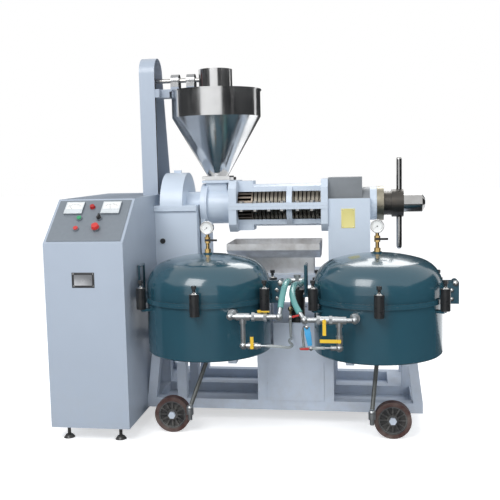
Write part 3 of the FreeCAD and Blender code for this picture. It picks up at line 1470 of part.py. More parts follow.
def make_lid(side):
    """Domed lid with its rim, hinge tongue and pin, lifting handle and vent boss."""
    x, y = tank_centre(side)
    rim = tube("z", "rim_radius", "tank_radius - 2 * lid_wall", "lid_base", "dome_base", (x, y))
    dome = place(dished_head(0), x, y, "dome_base - gap / 2")
    hollow = place(dished_head(size("lid_wall")), x, y, "dome_base - gap / 2")
    half = "hinge_tongue_half"
    tongue = block((f"{x} + tank_radius - 2 * lid_wall", f"{x} + hinge_reach"),
                   (f"{y} - {half}", f"{y} + {half}"),
                   ("lid_base", "hinge_height + hinge_eye_radius * 0.6"))
    eye = rod("y", "hinge_eye_radius", f"{y} - {half}", f"{y} + {half}",
              (f"{x} + hinge_reach", "hinge_height"))
    reach = "hinge_tongue_half + hinge_play + hinge_cheek + hinge_play"
    pin = rod("y", "hinge_pin_radius", f"{y} - ({reach})", f"{y} + {reach}",
              (f"{x} + hinge_reach", "hinge_height"))
    boss = rod("z", "vent_boss_radius", "lid_top - 3 * lid_wall", "lid_top + lid_wall", (x, y))
    vent = rod("z", "vent_radius - 5", "lid_top - 4 * lid_wall", "lid_top + 2 * lid_wall", (x, y))
    shell = cut(fused(dome, rim, tongue, boss), hollow,
                rod("z", "tank_radius - 2 * lid_wall", "lid_base - 1", "dome_base + lid_wall / 2", (x, y)),
                vent)
    parts = [shell, eye, pin] + lid_handle(x, y)
    return subpart(f"{side}_lid", fused(*parts))


def lid_handle(x, y):
    """The upright lifting handle at the edge of a lid."""
    lug = block((f"{x} - lid_handle_reach - 2 * lid_handle_rod", f"{x} - rim_radius + lid_rim"),
                (f"{y} - lid_handle_half - lid_handle_rod", f"{y} + lid_handle_half + lid_handle_rod"),
                ("lid_base", "dome_base"))
    along = f"{x} - lid_handle_reach"
    legs = [rod("z", "lid_handle_rod", "lid_base + 1", "lid_handle_top",
                (along, f"{y} {sign} lid_handle_half")) for sign in ("-", "+")]
    grip = rod("y", "lid_handle_rod", f"{y} - lid_handle_half", f"{y} + lid_handle_half",
               (along, "lid_handle_top"))
    corners = [ball("lid_handle_rod", along, f"{y} {sign} lid_handle_half",
                    "lid_handle_top") for sign in ("-", "+")]
    return [lug, *legs, grip, *corners]


def make_clamps(side):
    """Six screw clamps standing round the tank, released so that the lid is free."""
    x, y = tank_centre(side)
    clamps = []
    for angle in range(30, 390, 60):
        centre = (f"{x} + clamp_circle * cos({angle})", f"{y} + clamp_circle * sin({angle})")
        barrel = rod("z", "clamp_radius", "clamp_bottom", "clamp_top", centre)
        collar = cone("z", ("clamp_radius * 0.7", "clamp_spindle_radius"), "clamp_top",
                      "clamp_top + clamp_radius / 3", centre)
        spindle = rod("z", "clamp_spindle_radius", "clamp_top - 1", "clamp_knob_top", centre)
        knob = hexagon("z", "clamp_spindle_radius * 1.7", "clamp_knob_top - clamp_spindle_radius * 2",
                       "clamp_knob_top", centre)
        clamps.append(fused(barrel, collar, spindle, knob))
    return subpart(f"{side}_clamps", group(*clamps))


def make_gauge(side):
    """Pressure gauge on its vent pipe, on top of a lid."""
    x, y = tank_centre(side)
    base = "lid_top + lid_wall"
    pipe = rod("z", "vent_radius", base, "gauge_height - gauge_radius + 4", (x, y))
    seat = hexagon("z", "vent_radius * 1.7", base, f"{base} + 2 * vent_radius", (x, y))
    cock = hexagon("z", "vent_radius * 1.6", "vent_cock_height - 1.6 * vent_radius",
                   "vent_cock_height + 1.6 * vent_radius", (x, y))
    dial = rod("y", "gauge_radius", f"{y} - gauge_depth / 2", f"{y} + gauge_depth / 2", (x, "gauge_height"))
    bore = rod("y", "vent_radius / 2 + running_fit", f"{y} - 2 * vent_radius", f"{y} - vent_radius / 2",
               (x, "vent_cock_height"))
    return subpart(f"{side}_gauge", cut(fused(pipe, seat, cock, dial), bore))


def make_vent_lever(side):
    """Small cock lever below the gauge."""
    x, y = tank_centre(side)
    front = f"{y} - vent_radius * 1.6 - gap"
    stem = rod("y", "vent_radius / 2", f"{front} - lever_thickness", f"{y} - vent_radius / 2 - gap",
               (x, "vent_cock_height"))
    arm = block((f"{x} - vent_radius", f"{x} + vent_lever_length"), (f"{front} - lever_thickness", front),
                ("vent_cock_height - lever_width / 3", "vent_cock_height + lever_width / 3"))
    return subpart(f"{side}_vent_lever", fused(stem, arm))


def make_screens():
    """Filter discs on a centre tube inside each tank."""
    stacks = []
    for side in ("left", "right"):
        x, y = tank_centre(side)
        base = "tank_bottom + tank_wall + gap"
        tube_height = f"{base} + 5.5 * screen_pitch"
        discs = [rod("z", "screen_radius", f"{base} + ({index} + 0.5) * screen_pitch",
                     f"{base} + ({index} + 0.5) * screen_pitch + screen_thickness", (x, y))
                 for index in range(5)]
        core = rod("z", "screen_tube_radius", base, tube_height, (x, y))
        bore = rod("z", "screen_tube_radius - 4", f"{base} - 1", f"{tube_height} - 4", (x, y))
        stacks.append(cut(fused(core, *discs), bore))
    return subpart("filter_screens", group(*stacks))


def run_of_pipe(along, start, end, centre, radius="pipe_radius"):
    """A straight length of pipe."""
    return rod(along, radius, start, end, centre)


def make_pipework():
    """Outlet pipes of both tanks with their tees, valve bodies, elbows, hose tails and drains."""
    assemblies = []
    for side in ("left", "right"):
        y = f"{side}_pipe_y"
        z = f"{side}_pipe_height"
        out_x, tee_x, end_x = f"{side}_outlet_x", f"{side}_tee_x", f"{side}_end_x"
        low_z = f"{side}_low_height"
        towards = "+" if side == "left" else "-"
        x_run = (out_x, end_x) if side == "left" else (end_x, out_x)
        wall_y = f"tank_y - sqrt(pow(tank_radius; 2) - pow({out_x} - {side}_tank_x; 2))"
        valve = f"{side}_valve_x"
        pieces = [
            run_of_pipe("y", y, f"{wall_y} + fitting_radius", (out_x, z)),
            rod("y", "fitting_radius * 1.3", f"{wall_y} - fitting_radius - 4", f"{wall_y} + fitting_radius",
                (out_x, z)),
            ball("fitting_radius", out_x, y, z),
            run_of_pipe("x", x_run[0], x_run[1], (y, z)),
            rod("x", "fitting_radius", f"{tee_x} - 30", f"{tee_x} + 30", (y, z)),
            rod("x", "fitting_radius", f"{valve} - 28", f"{valve} + 28", (y, z)),
            hexagon("x", "fitting_radius * 1.2", f"{valve} - 34", f"{valve} - 20", (y, z)),
            hexagon("x", "fitting_radius * 1.2", f"{valve} + 20", f"{valve} + 34", (y, z)),
            ball("fitting_radius", end_x, y, z),
            run_of_pipe("z", low_z, z, (tee_x, y)),
            rod("z", "fitting_radius * 0.9", f"{z} - 30", z, (tee_x, y)),
            ball("fitting_radius", tee_x, y, low_z),
            green_tail(side),
        ]
        pieces += lower_branch(side)
        pieces += [valve_bonnet(*spot) for spot in valve_spots(side)]
        tank_room = rod("z", "tank_radius + gap", "tank_bottom", "seam_height - rim_thickness",
                        tank_centre(side))
        bores = [valve_stem_bore(*spot) for spot in valve_spots(side)]
        assemblies.append(cut(fused(*pieces), tank_room, *bores))
    for side in ("left", "right"):
        assemblies.append(drain_pipe(side))
    return subpart("filter_pipework", group(*assemblies))


def green_start(side):
    """The end elbow of a tank's pipe, the way that its hose tail points, and how far the tail reaches."""
    elbow = Vector(size(f"{side}_end_x"), size(f"{side}_pipe_y"), size(f"{side}_pipe_height"))
    direction = {"left": Vector(0.1, 0.55, 0.85), "right": Vector(-0.5, 0.6, 0.6)}[side]
    direction.normalize()
    return elbow, direction, size("fitting_radius") + size("hose_tail")


def green_tail(side):
    """The slanting hose tail on the end elbow of a tank's pipe."""
    elbow, direction, reach = green_start(side)
    return fixed(Part.makeCylinder(size("green_tail_radius"), reach, elbow, direction))


def lower_branch(side):
    """The lower valve body of a drop pipe and its hose tail."""
    y, low_z = f"{side}_pipe_y", f"{side}_low_height"
    if side == "left":
        valve = "left_low_valve_x"
        return [
            run_of_pipe("x", "left_tee_x", "left_low_end_x", (y, low_z)),
            rod("x", "fitting_radius * 0.9", f"{valve} - 22", f"{valve} + 22", (y, low_z)),
            rod("x", "clear_tail_radius", "left_low_end_x", "left_low_end_x + hose_tail", (y, low_z)),
        ]
    valve = "right_low_valve_height"
    return [
        rod("z", "fitting_radius * 0.9", f"{valve} - 20", f"{valve} + 20", ("right_tee_x", y)),
        run_of_pipe("x", "right_low_end_x", "right_tee_x", (y, low_z)),
        rod("x", "clear_tail_radius", "right_low_end_x - hose_tail", "right_low_end_x", (y, low_z)),
    ]


def valve_spots(side):
    """The axis along which each valve's stem comes out, and the centre of that valve."""
    if side == "left":
        return [("z", "left_valve_x", "left_pipe_y", "left_pipe_height"),
                ("y", "left_low_valve_x", "left_pipe_y", "left_low_height")]
    return [("y", "right_valve_x", "right_pipe_y", "right_pipe_height"),
            ("y", "right_tee_x", "right_pipe_y", "right_low_valve_height")]


def valve_bonnet(along, x, y, z):
    """The collar of a valve body round its stem."""
    if along == "z":
        return rod("z", "pipe_radius * 0.8", z, f"{z} + fitting_radius + gap * 5", (x, y))
    return rod("y", "pipe_radius * 0.8", f"{y} - fitting_radius - gap * 5", y, (x, z))


def valve_stem_bore(along, x, y, z):
    """The hole in a valve body that its stem turns in."""
    radius = "pipe_radius / 2 + running_fit"
    if along == "z":
        return rod("z", radius, f"{z} + 4", f"{z} + 2 * fitting_radius", (x, y))
    return rod("y", radius, f"{y} - 2 * fitting_radius", f"{y} - 4", (x, z))


def make_valve_lever(label, spot, reach, points):
    """A flat lever on its stem: points gives the axis it lies along and its sense."""
    along, x, y, z = spot
    half = "lever_width / 2"
    direction, sense = points
    out = "fitting_radius * 1.3"
    if along == "z":
        stem = rod("z", "pipe_radius / 2", f"{z} + 4 + gap", f"{z} + {out} + lever_thickness", (x, y))
        limits = {"z": (f"{z} + {out}", f"{z} + {out} + lever_thickness"),
                  "x": (f"{x} - {half}", f"{x} + {half}"), "y": (f"{y} - {half}", f"{y} + {half}")}
    else:
        stem = rod("y", "pipe_radius / 2", f"{y} - {out} - lever_thickness", f"{y} - 4 - gap", (x, z))
        limits = {"y": (f"{y} - {out} - lever_thickness", f"{y} - {out}"),
                  "x": (f"{x} - {half}", f"{x} + {half}"), "z": (f"{z} - {half}", f"{z} + {half}")}
    centre = {"x": x, "y": y, "z": z}[direction]
    limits[direction] = (f"{centre} - {reach}",
                         f"{centre} + {half}") if sense == "-" else (f"{centre} - {half}",
                                                                     f"{centre} + {reach}")
    arm = block(limits["x"], limits["y"], limits["z"])
    nut_centre = (x, y) if along == "z" else (x, z)
    if along == "z":
        nut = hexagon("z", "pipe_radius * 0.8", limits["z"][1], f"{limits['z'][1]} + lever_thickness",
                      nut_centre)
    else:
        nut = hexagon("y", "pipe_radius * 0.8", f"{limits['y'][0]} - lever_thickness", limits["y"][0],
                      nut_centre)
    return subpart(label, fused(stem, arm, nut))


def make_valve_levers():
    """The four quarter-turn levers in front of the tanks."""
    upper_left, lower_left = valve_spots("left")
    upper_right, lower_right = valve_spots("right")
    make_valve_lever("left_upper_lever", upper_left, "short_lever_length", ("x", "+"))
    make_valve_lever("left_lower_lever", lower_left, "short_lever_length", ("z", "+"))
    make_valve_lever("right_upper_lever", upper_right, "short_lever_length * 1.35", ("z", "-"))
    make_valve_lever("right_lower_lever", lower_right, "lever_length", ("x", "-"))


def drain_pipe(side):
    """The slanting drain under a tank, with an elbow and a cock."""
    top = Vector(size(f"{side}_tank_x"), size("tank_y"),
                 size("tank_bottom") - size("gap") - size("drain_radius"))
    elbow = Vector(size(f"{side}_drain_x"), size("drain_y"), size("drain_elbow_height"))
    radius = size("drain_radius")
    line = elbow - top
    slope = Part.makeCylinder(radius * 0.8, line.Length, top, line)
    stub = Part.makeCylinder(radius, radius * 1.6, top - Vector(0, 0, radius * 0.6), Vector(0, 0, 1))
    joint = Part.makeSphere(radius * 1.35, elbow)
    cock_base = Vector(elbow.x, elbow.y, size("drain_cock_height"))
    cock = Part.makeCylinder(radius * 0.8, elbow.z - cock_base.z, cock_base, Vector(0, 0, 1))
    union = Part.makeCylinder(radius * 1.3, radius * 1.8, elbow - Vector(0, 0, radius * 2.4),
                              Vector(0, 0, 1))
    shape = slope.fuse([stub, joint, cock, union])
    return fixed(shape.common(below(size("tank_bottom") - size("gap"))))


def below(height):
    """A very large block whose top is at a height."""
    reach = 3000
    return Part.makeBox(2 * reach, 2 * reach, reach, Vector(-reach, -reach, height - reach))


def make_oil_pump():
    """Upright gear pump on the oil tank, with its riser, tee, cap and hose tails."""
    centre = ("pump_x", "pump_y")
    base = "settling_height + gap"
    tee_z = "riser_tee_height"
    foot = rod("z", "pump_radius * 1.2", base, f"{base} + pump_foot", centre)
    body = rod("z", "pump_radius", base, "pump_top", centre)
    riser = rod("z", "pipe_radius", "pump_top - 1", tee_z, centre)
    tee = rod("x", "fitting_radius * 0.85", "pump_x - riser_tee_half", "pump_x + riser_tee_half",
              ("pump_y", tee_z))
    cap = hexagon("z", "fitting_radius", tee_z, f"{tee_z} + fitting_radius * 1.6", centre)
    pieces = [foot, body, riser, tee, cap]
    for x in ("pump_x - riser_tee_half", "pump_x + riser_tee_half"):
        pieces.append(ball("fitting_radius * 0.85", x, "pump_y", tee_z))
        pieces.append(rod("y", "green_tail_radius", "pump_y - fitting_radius - hose_tail", "pump_y",
                          (x, tee_z)))
    port_y = "pump_y - pump_radius - 2 * fitting_radius"
    pieces.append(rod("y", "pipe_radius * 0.8", port_y, "pump_y", ("pump_port_x", "pump_port_height")))
    pieces.append(ball("fitting_radius * 0.75", "pump_port_x", port_y, "pump_port_height"))
    pieces.append(rod("z", "clear_tail_radius", "pump_port_height - hose_tail", "pump_port_height",
                      ("pump_port_x", port_y)))
    return subpart("oil_pump", fused(*pieces))


def hose(label, radius, points):
    """A hose of straight runs joined by tangent arcs, each as large as its two runs allow."""
    edges = []
    reached = points[0]
    radii = []
    for before, corner, after in zip(points, points[1:], points[2:]):
        arriving = Vector(corner - before)
        leaving = Vector(after - corner)
        turn = arriving.getAngle(leaving)
        reach = 0.45 * min(arriving.Length, leaving.Length)
        bend = reach / math.tan(turn / 2)
        arriving.normalize()
        leaving.normalize()
        entry = corner - arriving * reach
        leave = corner + leaving * reach
        inward = Vector(leaving - arriving)
        inward.normalize()
        middle = corner + inward * (bend / math.cos(turn / 2) - bend)
        edges.append(Part.LineSegment(reached, entry).toShape())
        edges.append(Part.Arc(entry, middle, leave).toShape())
        radii.append(round(bend, 1))
        reached = leave
    edges.append(Part.LineSegment(reached, points[-1]).toShape())
    path = Part.Wire(edges)
    circle = Part.makeCircle(radius, points[0], points[1] - points[0])
    tube_shape = path.makePipeShell([Part.Wire(circle)], True, False)
    share = tube_shape.Volume / (math.pi * radius ** 2 * path.Length)
    print(label, "length", round(path.Length, 1), "bend radii", radii, "volume share", round(share, 4))
    return subpart(label, fixed(tube_shape))


def make_hoses():
    """Two green oil hoses from the pump's tee and two clear hoses from the lower valves."""
    gap = size("gap")
    green, clear, tail = size("green_hose_radius"), size("clear_hose_radius"), size("hose_tail")
    tee_y = size("pump_y") - size("fitting_radius") - tail - gap
    for side, sign, first, last, middle in (
            ("left", -1, 49, 47,
             [(76, -746, 740), (80, -699, 759), (85, -635, 763), (79, -555, 749), (75, -511, 732)]),
            ("right", 1, 29, 41,
             [(120, -770, 695), (109, -718, 722), (112, -626, 740), (118, -558, 735), (131, -501, 723)])):
        elbow, direction, reach = green_start(side)
        start = elbow + direction * (reach + gap)
        end = Vector(size("pump_x") + sign * size("riser_tee_half"), tee_y,
                     (size("settling_height") + size("pump_rise") + size("riser_tee_rise")))
        route = [start, start + direction * first, *(Vector(*point) for point in middle),
                 end - Vector(0, last, 0), end]
        hose(f"green_hose_{side}", green, route)
    low_left = Vector(size("left_low_end_x") + tail + gap, size("left_pipe_y"), size("left_low_height"))
    port_y = size("pump_y") - size("pump_radius") - 2 * size("fitting_radius")
    port = Vector(size("pump_port_x"), port_y,
                  (size("settling_height") + size("pump_port_rise")) - tail - gap)
    middle = [(69, -822, 495), (101, -789, 482), (113, -730, 479), (92, -675, 480), (85, -618, 481),
              (93, -566, 471),
              (84, -511, 461), (78, -467, 482)]
    hose("clear_hose_left", clear,
         [low_left, low_left + Vector(29, 0, 0), *(Vector(*point) for point in middle),
                                    port - Vector(0, 0, 44), port])
    low_right = Vector(size("right_low_end_x") - tail - gap, size("right_pipe_y"), size("right_low_height"))
    face = size("frame_front") - gap - size("settling_wall")
    suction = Vector(size("suction_x"), face - tail - gap, (size("settling_height") - size("suction_drop")))
    middle = [(186, -834, 490), (145, -780, 476), (153, -719, 466), (160, -674, 455), (151, -624, 468),
              (147, -573, 468),
              (140, -531, 496)]
    hose("clear_hose_right", clear,
         [low_right, low_right - Vector(28, 0, 0), *(Vector(*point) for point in middle),
                                     suction - Vector(0, 33, 0), suction])


def make_wheel(side):
    """Ribbed wheel: a hub, a thin web, spokes and a solid tyre."""
    x, z = f"{side}_wheel_x", "wheel_radius"
    half = "wheel_width / 2"
    rim = "wheel_radius - tyre_thickness"
    front, back = f"wheel_y - {half}", f"wheel_y + {half}"
    tyre = tube("y", "wheel_radius", rim, f"{front}", f"{back}", (x, z))
    hoop = tube("y", rim, f"{rim} - 6", f"{front} + 3", f"{back} - 3", (x, z))
    web = rod("y", f"{rim} - 3", "wheel_y - wheel_web / 4", "wheel_y + wheel_web / 4", (x, z))
    hub = rod("y", "hub_radius", front, back, (x, z))
    spokes = []
    for angle in range(0, 180, 30):
        spoke = block((f"-({rim} - 3)", f"{rim} - 3"), ("-wheel_width / 2 + 6", "wheel_width / 2 - 6"),
                      ("-3", "3"))
        holder = group(spoke)
        holder.Placement = FreeCAD.Placement(Vector(), FreeCAD.Rotation(Vector(0, 1, 0), angle))
        spokes.append(place(holder, x, "wheel_y", z))
    bore = rod("y", "wheel_axle_radius + running_fit", f"{front} - 1", f"{back} + 1", (x, z))
    return subpart(f"{side}_wheel", group(tyre, cut(fused(hoop, web, hub, *spokes), bore)))


def make_press():
    """Build every sub-part in turn."""
    make_base_frame()
    make_settling_tank()
    make_oil_tray()
    make_cabinet_shell()
    make_levelling_feet()
    make_console_panel()
    make_switches()
    make_drive_motor()
    make_motor_pulley()
    make_drive_belts()
    make_input_shaft()
    make_bull_gear()
    make_gearbox_lower_case()
    make_gearbox_upper_case()
    make_shaft_bearings()
    make_feed_chain()
    make_chain_guard()
    make_feed_bearings()
    make_feed_shaft()
    make_hopper()
    make_hopper_head()
    make_agitator()
    make_slide_gate()
    make_feed_chamber()
    make_cage_half("cage_upper_half", "+")
    make_cage_half("cage_lower_half", "-")
    make_cage_bolts()
    make_cage_bars()
    make_press_rings()
    make_worm_shaft()
    make_discharge_pedestal()
    make_bearing_housing()
    make_choke_screw()
    make_hand_nut()
    for side in ("left", "right"):
        make_tank(side)
        make_lid(side)
        make_clamps(side)
        make_gauge(side)
        make_vent_lever(side)
        make_wheel(side)
    make_screens()
    make_pipework()
    make_valve_levers()
    make_oil_pump()
    make_hoses()


def check_and_export():
    """Stop on any failed object, then write one STEP file for each sub-part."""
    DOC.recompute()
    for thing in DOC.Objects:
        if "Invalid" in thing.State or "Error" in thing.State:
            raise RuntimeError(f"{thing.Label} failed: {thing.State}")
    os.makedirs("parts", exist_ok=True)
    for piece in SUBPARTS:
        shape = piece.Shape
        if shape.isNull() or not shape.isValid() or not shape.Solids:
            raise RuntimeError(f"{piece.Label} has no valid solid")
        shape.exportStep(os.path.join("parts", piece.Label + ".step"))
    print(len(SUBPARTS), "sub-parts written")


fill_sheet()
make_press()
check_and_export()
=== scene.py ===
"""Looks of a screw oil press: paint, metal, hoses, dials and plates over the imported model."""

import math

import bpy
from mathutils import Matrix, Vector


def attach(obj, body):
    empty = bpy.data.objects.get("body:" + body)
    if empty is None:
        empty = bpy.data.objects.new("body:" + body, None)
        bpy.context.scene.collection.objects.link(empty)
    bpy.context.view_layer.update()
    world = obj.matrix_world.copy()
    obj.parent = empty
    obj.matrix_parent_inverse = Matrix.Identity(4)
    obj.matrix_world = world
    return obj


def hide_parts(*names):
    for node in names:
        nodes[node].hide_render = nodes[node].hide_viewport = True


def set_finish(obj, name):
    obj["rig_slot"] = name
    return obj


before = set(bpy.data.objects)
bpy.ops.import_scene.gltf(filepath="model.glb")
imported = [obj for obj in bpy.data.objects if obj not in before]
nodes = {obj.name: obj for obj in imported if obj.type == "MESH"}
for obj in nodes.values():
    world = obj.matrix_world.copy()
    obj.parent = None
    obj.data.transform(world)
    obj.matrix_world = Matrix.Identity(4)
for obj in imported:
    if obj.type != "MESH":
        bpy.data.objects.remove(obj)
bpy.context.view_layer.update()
ROOT = "press_body"

# Places that several pieces share, in metres.
PRESS_AXIS = 1.082
FEED_AXIS = 1.765
TANK_PLACES = {"left": -0.317, "right": 0.497}
TO_RIGHT_TANK = (TANK_PLACES["right"] - TANK_PLACES["left"], 0, 0)
GAUGE_HEIGHT = 1.002
GAUGE_MIDDLE = -0.502
GAUGE_FRONT = -0.516
HINGE_FRONT = -0.534
WHEEL_PLACES = {"left": (-0.502, -0.56, 0.0875), "right": (0.564, -0.56, 0.0875)}
CABINET_FRONT = -0.750
PEDESTAL_FRONT = -0.120

# Camera, solved from the upright cabinet and the level rails.
CAMERA_PLACE = (0.4229, -4.1518, 1.3036)
CAMERA_YAW = math.radians(8.92)
CAMERA_PITCH = math.radians(-5.97)
CAMERA_ROLL = math.radians(-1.33)
FOCAL_PIXELS = 767.74
IMAGE_SIDE = 500
PRINCIPAL = (241.54, 244.86)


def make_camera():
    """A camera at the viewing angle of the photograph."""
    yaw, pitch, roll = CAMERA_YAW, CAMERA_PITCH, CAMERA_ROLL
    ahead = Vector((-math.sin(yaw) * math.cos(pitch), math.cos(yaw) * math.cos(pitch), math.sin(pitch)))
    level = Vector((math.cos(yaw), math.sin(yaw), 0))
    lift = level.cross(ahead)
    right = math.cos(roll) * level + math.sin(roll) * lift
    up = math.cos(roll) * lift - math.sin(roll) * level
    lens = bpy.data.cameras.new("viewpoint")
    lens.sensor_width = 36
    lens.lens = FOCAL_PIXELS / IMAGE_SIDE * lens.sensor_width
    lens.shift_x = (IMAGE_SIDE / 2 - PRINCIPAL[0]) / IMAGE_SIDE
    lens.shift_y = (PRINCIPAL[1] - IMAGE_SIDE / 2) / IMAGE_SIDE
    camera = bpy.data.objects.new("viewpoint", lens)
    turn = Matrix((right, up, -ahead)).transposed()
    camera.matrix_world = Matrix.Translation(CAMERA_PLACE) @ turn.to_4x4()
    bpy.context.collection.objects.link(camera)
    bpy.context.scene.camera = camera


# Node tree helpers.
def link(tree, source, target):
    """Join two sockets."""
    tree.links.new(source, target)


def add_node(tree, kind, **settings):
    """One shader node with its settings."""
    node = tree.nodes.new(kind)
    for name, value in settings.items():
        setattr(node, name, value)
    return node


def new_group(name, inputs, outputs):
    """An empty node group with named sockets, and its inner input and output nodes."""
    tree = bpy.data.node_groups.new(name, "ShaderNodeTree")
    for label, kind, value in inputs:
        socket = tree.interface.new_socket(label, in_out="INPUT", socket_type=kind)
        socket.default_value = value
    for label, kind in outputs:
        tree.interface.new_socket(label, in_out="OUTPUT", socket_type=kind)
    return tree, tree.nodes.new("NodeGroupInput"), tree.nodes.new("NodeGroupOutput")


def maths(tree, operation, first, second=0.5, clamp=False):
    """A Math node of two inputs, each a socket or a number."""
    node = add_node(tree, "ShaderNodeMath", operation=operation, use_clamp=clamp)
    for place, value in enumerate((first, second)):
        if isinstance(value, (int, float)):
            node.inputs[place].default_value = value
        else:
            link(tree, value, node.inputs[place])
    return node.outputs[0]


def noise(tree, vector, scale, detail=4.0, roughness=0.55):
    """Noise at a scale, which is a socket or a number."""
    node = add_node(tree, "ShaderNodeTexNoise")
    link(tree, vector, node.inputs["Vector"])
    if isinstance(scale, (int, float)):
        node.inputs["Scale"].default_value = scale
    else:
        link(tree, scale, node.inputs["Scale"])
    node.inputs["Detail"].default_value = detail
    node.inputs["Roughness"].default_value = roughness
    return node.outputs["Fac"]


def spread(tree, value, low, high, to_low=0.0, to_high=1.0):
    """A value stretched from one range to another."""
    node = add_node(tree, "ShaderNodeMapRange", clamp=True)
    link(tree, value, node.inputs["Value"])
    for label, number in (("From Min", low), ("From Max", high), ("To Min", to_low), ("To Max", to_high)):
        if isinstance(number, (int, float)):
            node.inputs[label].default_value = number
        else:
            link(tree, number, node.inputs[label])
    return node.outputs["Result"]


def mixed(tree, share, first, second):
    """Two colours mixed by a share."""
    node = add_node(tree, "ShaderNodeMix", data_type="RGBA")
    for place, value in ((0, share), (6, first), (7, second)):
        if isinstance(value, (int, float)):
            node.inputs[place].default_value = value
        elif isinstance(value, tuple):
            node.inputs[place].default_value = (*value, 1.0)
        else:
            link(tree, value, node.inputs[place])
    return node.outputs[2]


def blended(tree, share, first, second):
    """Two numbers mixed by a share."""
    node = add_node(tree, "ShaderNodeMix", data_type="FLOAT")
    for place, value in ((0, share), (2, first), (3, second)):
        if isinstance(value, (int, float)):
            node.inputs[place].default_value = value
        else:
            link(tree, value, node.inputs[place])
    return node.outputs[0]


def make_wear_group():
    """Paint rubbed through along sharp edges, broken up by noise."""
    tree, given, result = new_group(
        "Worn edges",
        [("Vector", "NodeSocketVector", (0, 0, 0)), ("Paint", "NodeSocketColor", (0.5, 0.5, 0.5, 1)),
         ("Bare", "NodeSocketColor", (0.3, 0.3, 0.3, 1)), ("Width", "NodeSocketFloat", 0.003),
         ("Amount", "NodeSocketFloat", 0.5)],
        [("Color", "NodeSocketColor"), ("Mask", "NodeSocketFloat")])
    rounded = add_node(tree, "ShaderNodeBevel", samples=4)
    link(tree, given.outputs["Width"], rounded.inputs["Radius"])
    surface = add_node(tree, "ShaderNodeNewGeometry")
    facing = add_node(tree, "ShaderNodeVectorMath", operation="DOT_PRODUCT")
    link(tree, rounded.outputs["Normal"], facing.inputs[0])
    link(tree, surface.outputs["Normal"], facing.inputs[1])
    edge = spread(tree, facing.outputs["Value"], 0.995, 0.90)
    broken = spread(tree, noise(tree, given.outputs["Vector"], 60.0, 6.0, 0.7), 0.42, 0.62)
    mask = maths(tree, "MULTIPLY", maths(tree, "MULTIPLY", edge, broken), given.outputs["Amount"], True)
    link(tree, mixed(tree, mask, given.outputs["Paint"], given.outputs["Bare"]), result.inputs["Color"])
    link(tree, mask, result.inputs["Mask"])
    return tree


def make_mottle_group():
    """Slow and fine changes of a colour, with a value for roughness and a height for bump."""
    tree, given, result = new_group(
        "Mottle",
        [("Vector", "NodeSocketVector", (0, 0, 0)), ("Color", "NodeSocketColor", (0.5, 0.5, 0.5, 1)),
         ("Shade", "NodeSocketColor", (0.3, 0.3, 0.3, 1)), ("Scale", "NodeSocketFloat", 4.0),
         ("Strength", "NodeSocketFloat", 0.3), ("Grain", "NodeSocketFloat", 300.0)],
        [("Color", "NodeSocketColor"), ("Cloud", "NodeSocketFloat"), ("Height", "NodeSocketFloat")])
    cloud = spread(tree, noise(tree, given.outputs["Vector"], given.outputs["Scale"], 6.0), 0.35, 0.7)
    fine = noise(tree, given.outputs["Vector"], given.outputs["Grain"], 2.0)
    share = maths(tree, "MULTIPLY", cloud, given.outputs["Strength"], True)
    link(tree, mixed(tree, share, given.outputs["Color"], given.outputs["Shade"]), result.inputs["Color"])
    link(tree, cloud, result.inputs["Cloud"])
    link(tree, fine, result.inputs["Height"])
    return tree


def make_dust_group():
    """Dust and splashes that thicken towards the floor and lie on upward faces."""
    tree, given, result = new_group(
        "Dust",
        [("Vector", "NodeSocketVector", (0, 0, 0)), ("Color", "NodeSocketColor", (0.5, 0.5, 0.5, 1)),
         ("Dust", "NodeSocketColor", (0.4, 0.38, 0.34, 1)), ("Height", "NodeSocketFloat", 0.5),
         ("Amount", "NodeSocketFloat", 0.2)],
        [("Color", "NodeSocketColor"), ("Mask", "NodeSocketFloat")])
    place = add_node(tree, "ShaderNodeSeparateXYZ")
    link(tree, given.outputs["Vector"], place.inputs[0])
    low = spread(tree, place.outputs["Z"], given.outputs["Height"], 0.0)
    surface = add_node(tree, "ShaderNodeNewGeometry")
    normal = add_node(tree, "ShaderNodeSeparateXYZ")
    link(tree, surface.outputs["Normal"], normal.inputs[0])
    upward = spread(tree, normal.outputs["Z"], 0.7, 1.0)
    patches = spread(tree, noise(tree, given.outputs["Vector"], 14.0, 8.0, 0.65), 0.4, 0.7)
    where = maths(tree, "MAXIMUM", low, maths(tree, "MULTIPLY", upward, 0.7))
    mask = maths(tree, "MULTIPLY", maths(tree, "MULTIPLY", where, patches), given.outputs["Amount"], True)
    link(tree, mixed(tree, mask, given.outputs["Color"], given.outputs["Dust"]), result.inputs["Color"])
    link(tree, mask, result.inputs["Mask"])
    return tree


def make_streak_group():
    """Fine lines round or along a piece, as rolling, turning or brushing leaves them."""
    tree, given, result = new_group(
        "Streaks",
        [("Vector", "NodeSocketVector", (0, 0, 0)), ("Stretch", "NodeSocketVector", (1, 1, 1)),
         ("Scale", "NodeSocketFloat", 60.0)],
        [("Streak", "NodeSocketFloat")])
    long = add_node(tree, "ShaderNodeVectorMath", operation="MULTIPLY")
    link(tree, given.outputs["Vector"], long.inputs[0])
    link(tree, given.outputs["Stretch"], long.inputs[1])
    link(tree, noise(tree, long.outputs[0], given.outputs["Scale"], 3.0), result.inputs["Streak"])
    return tree


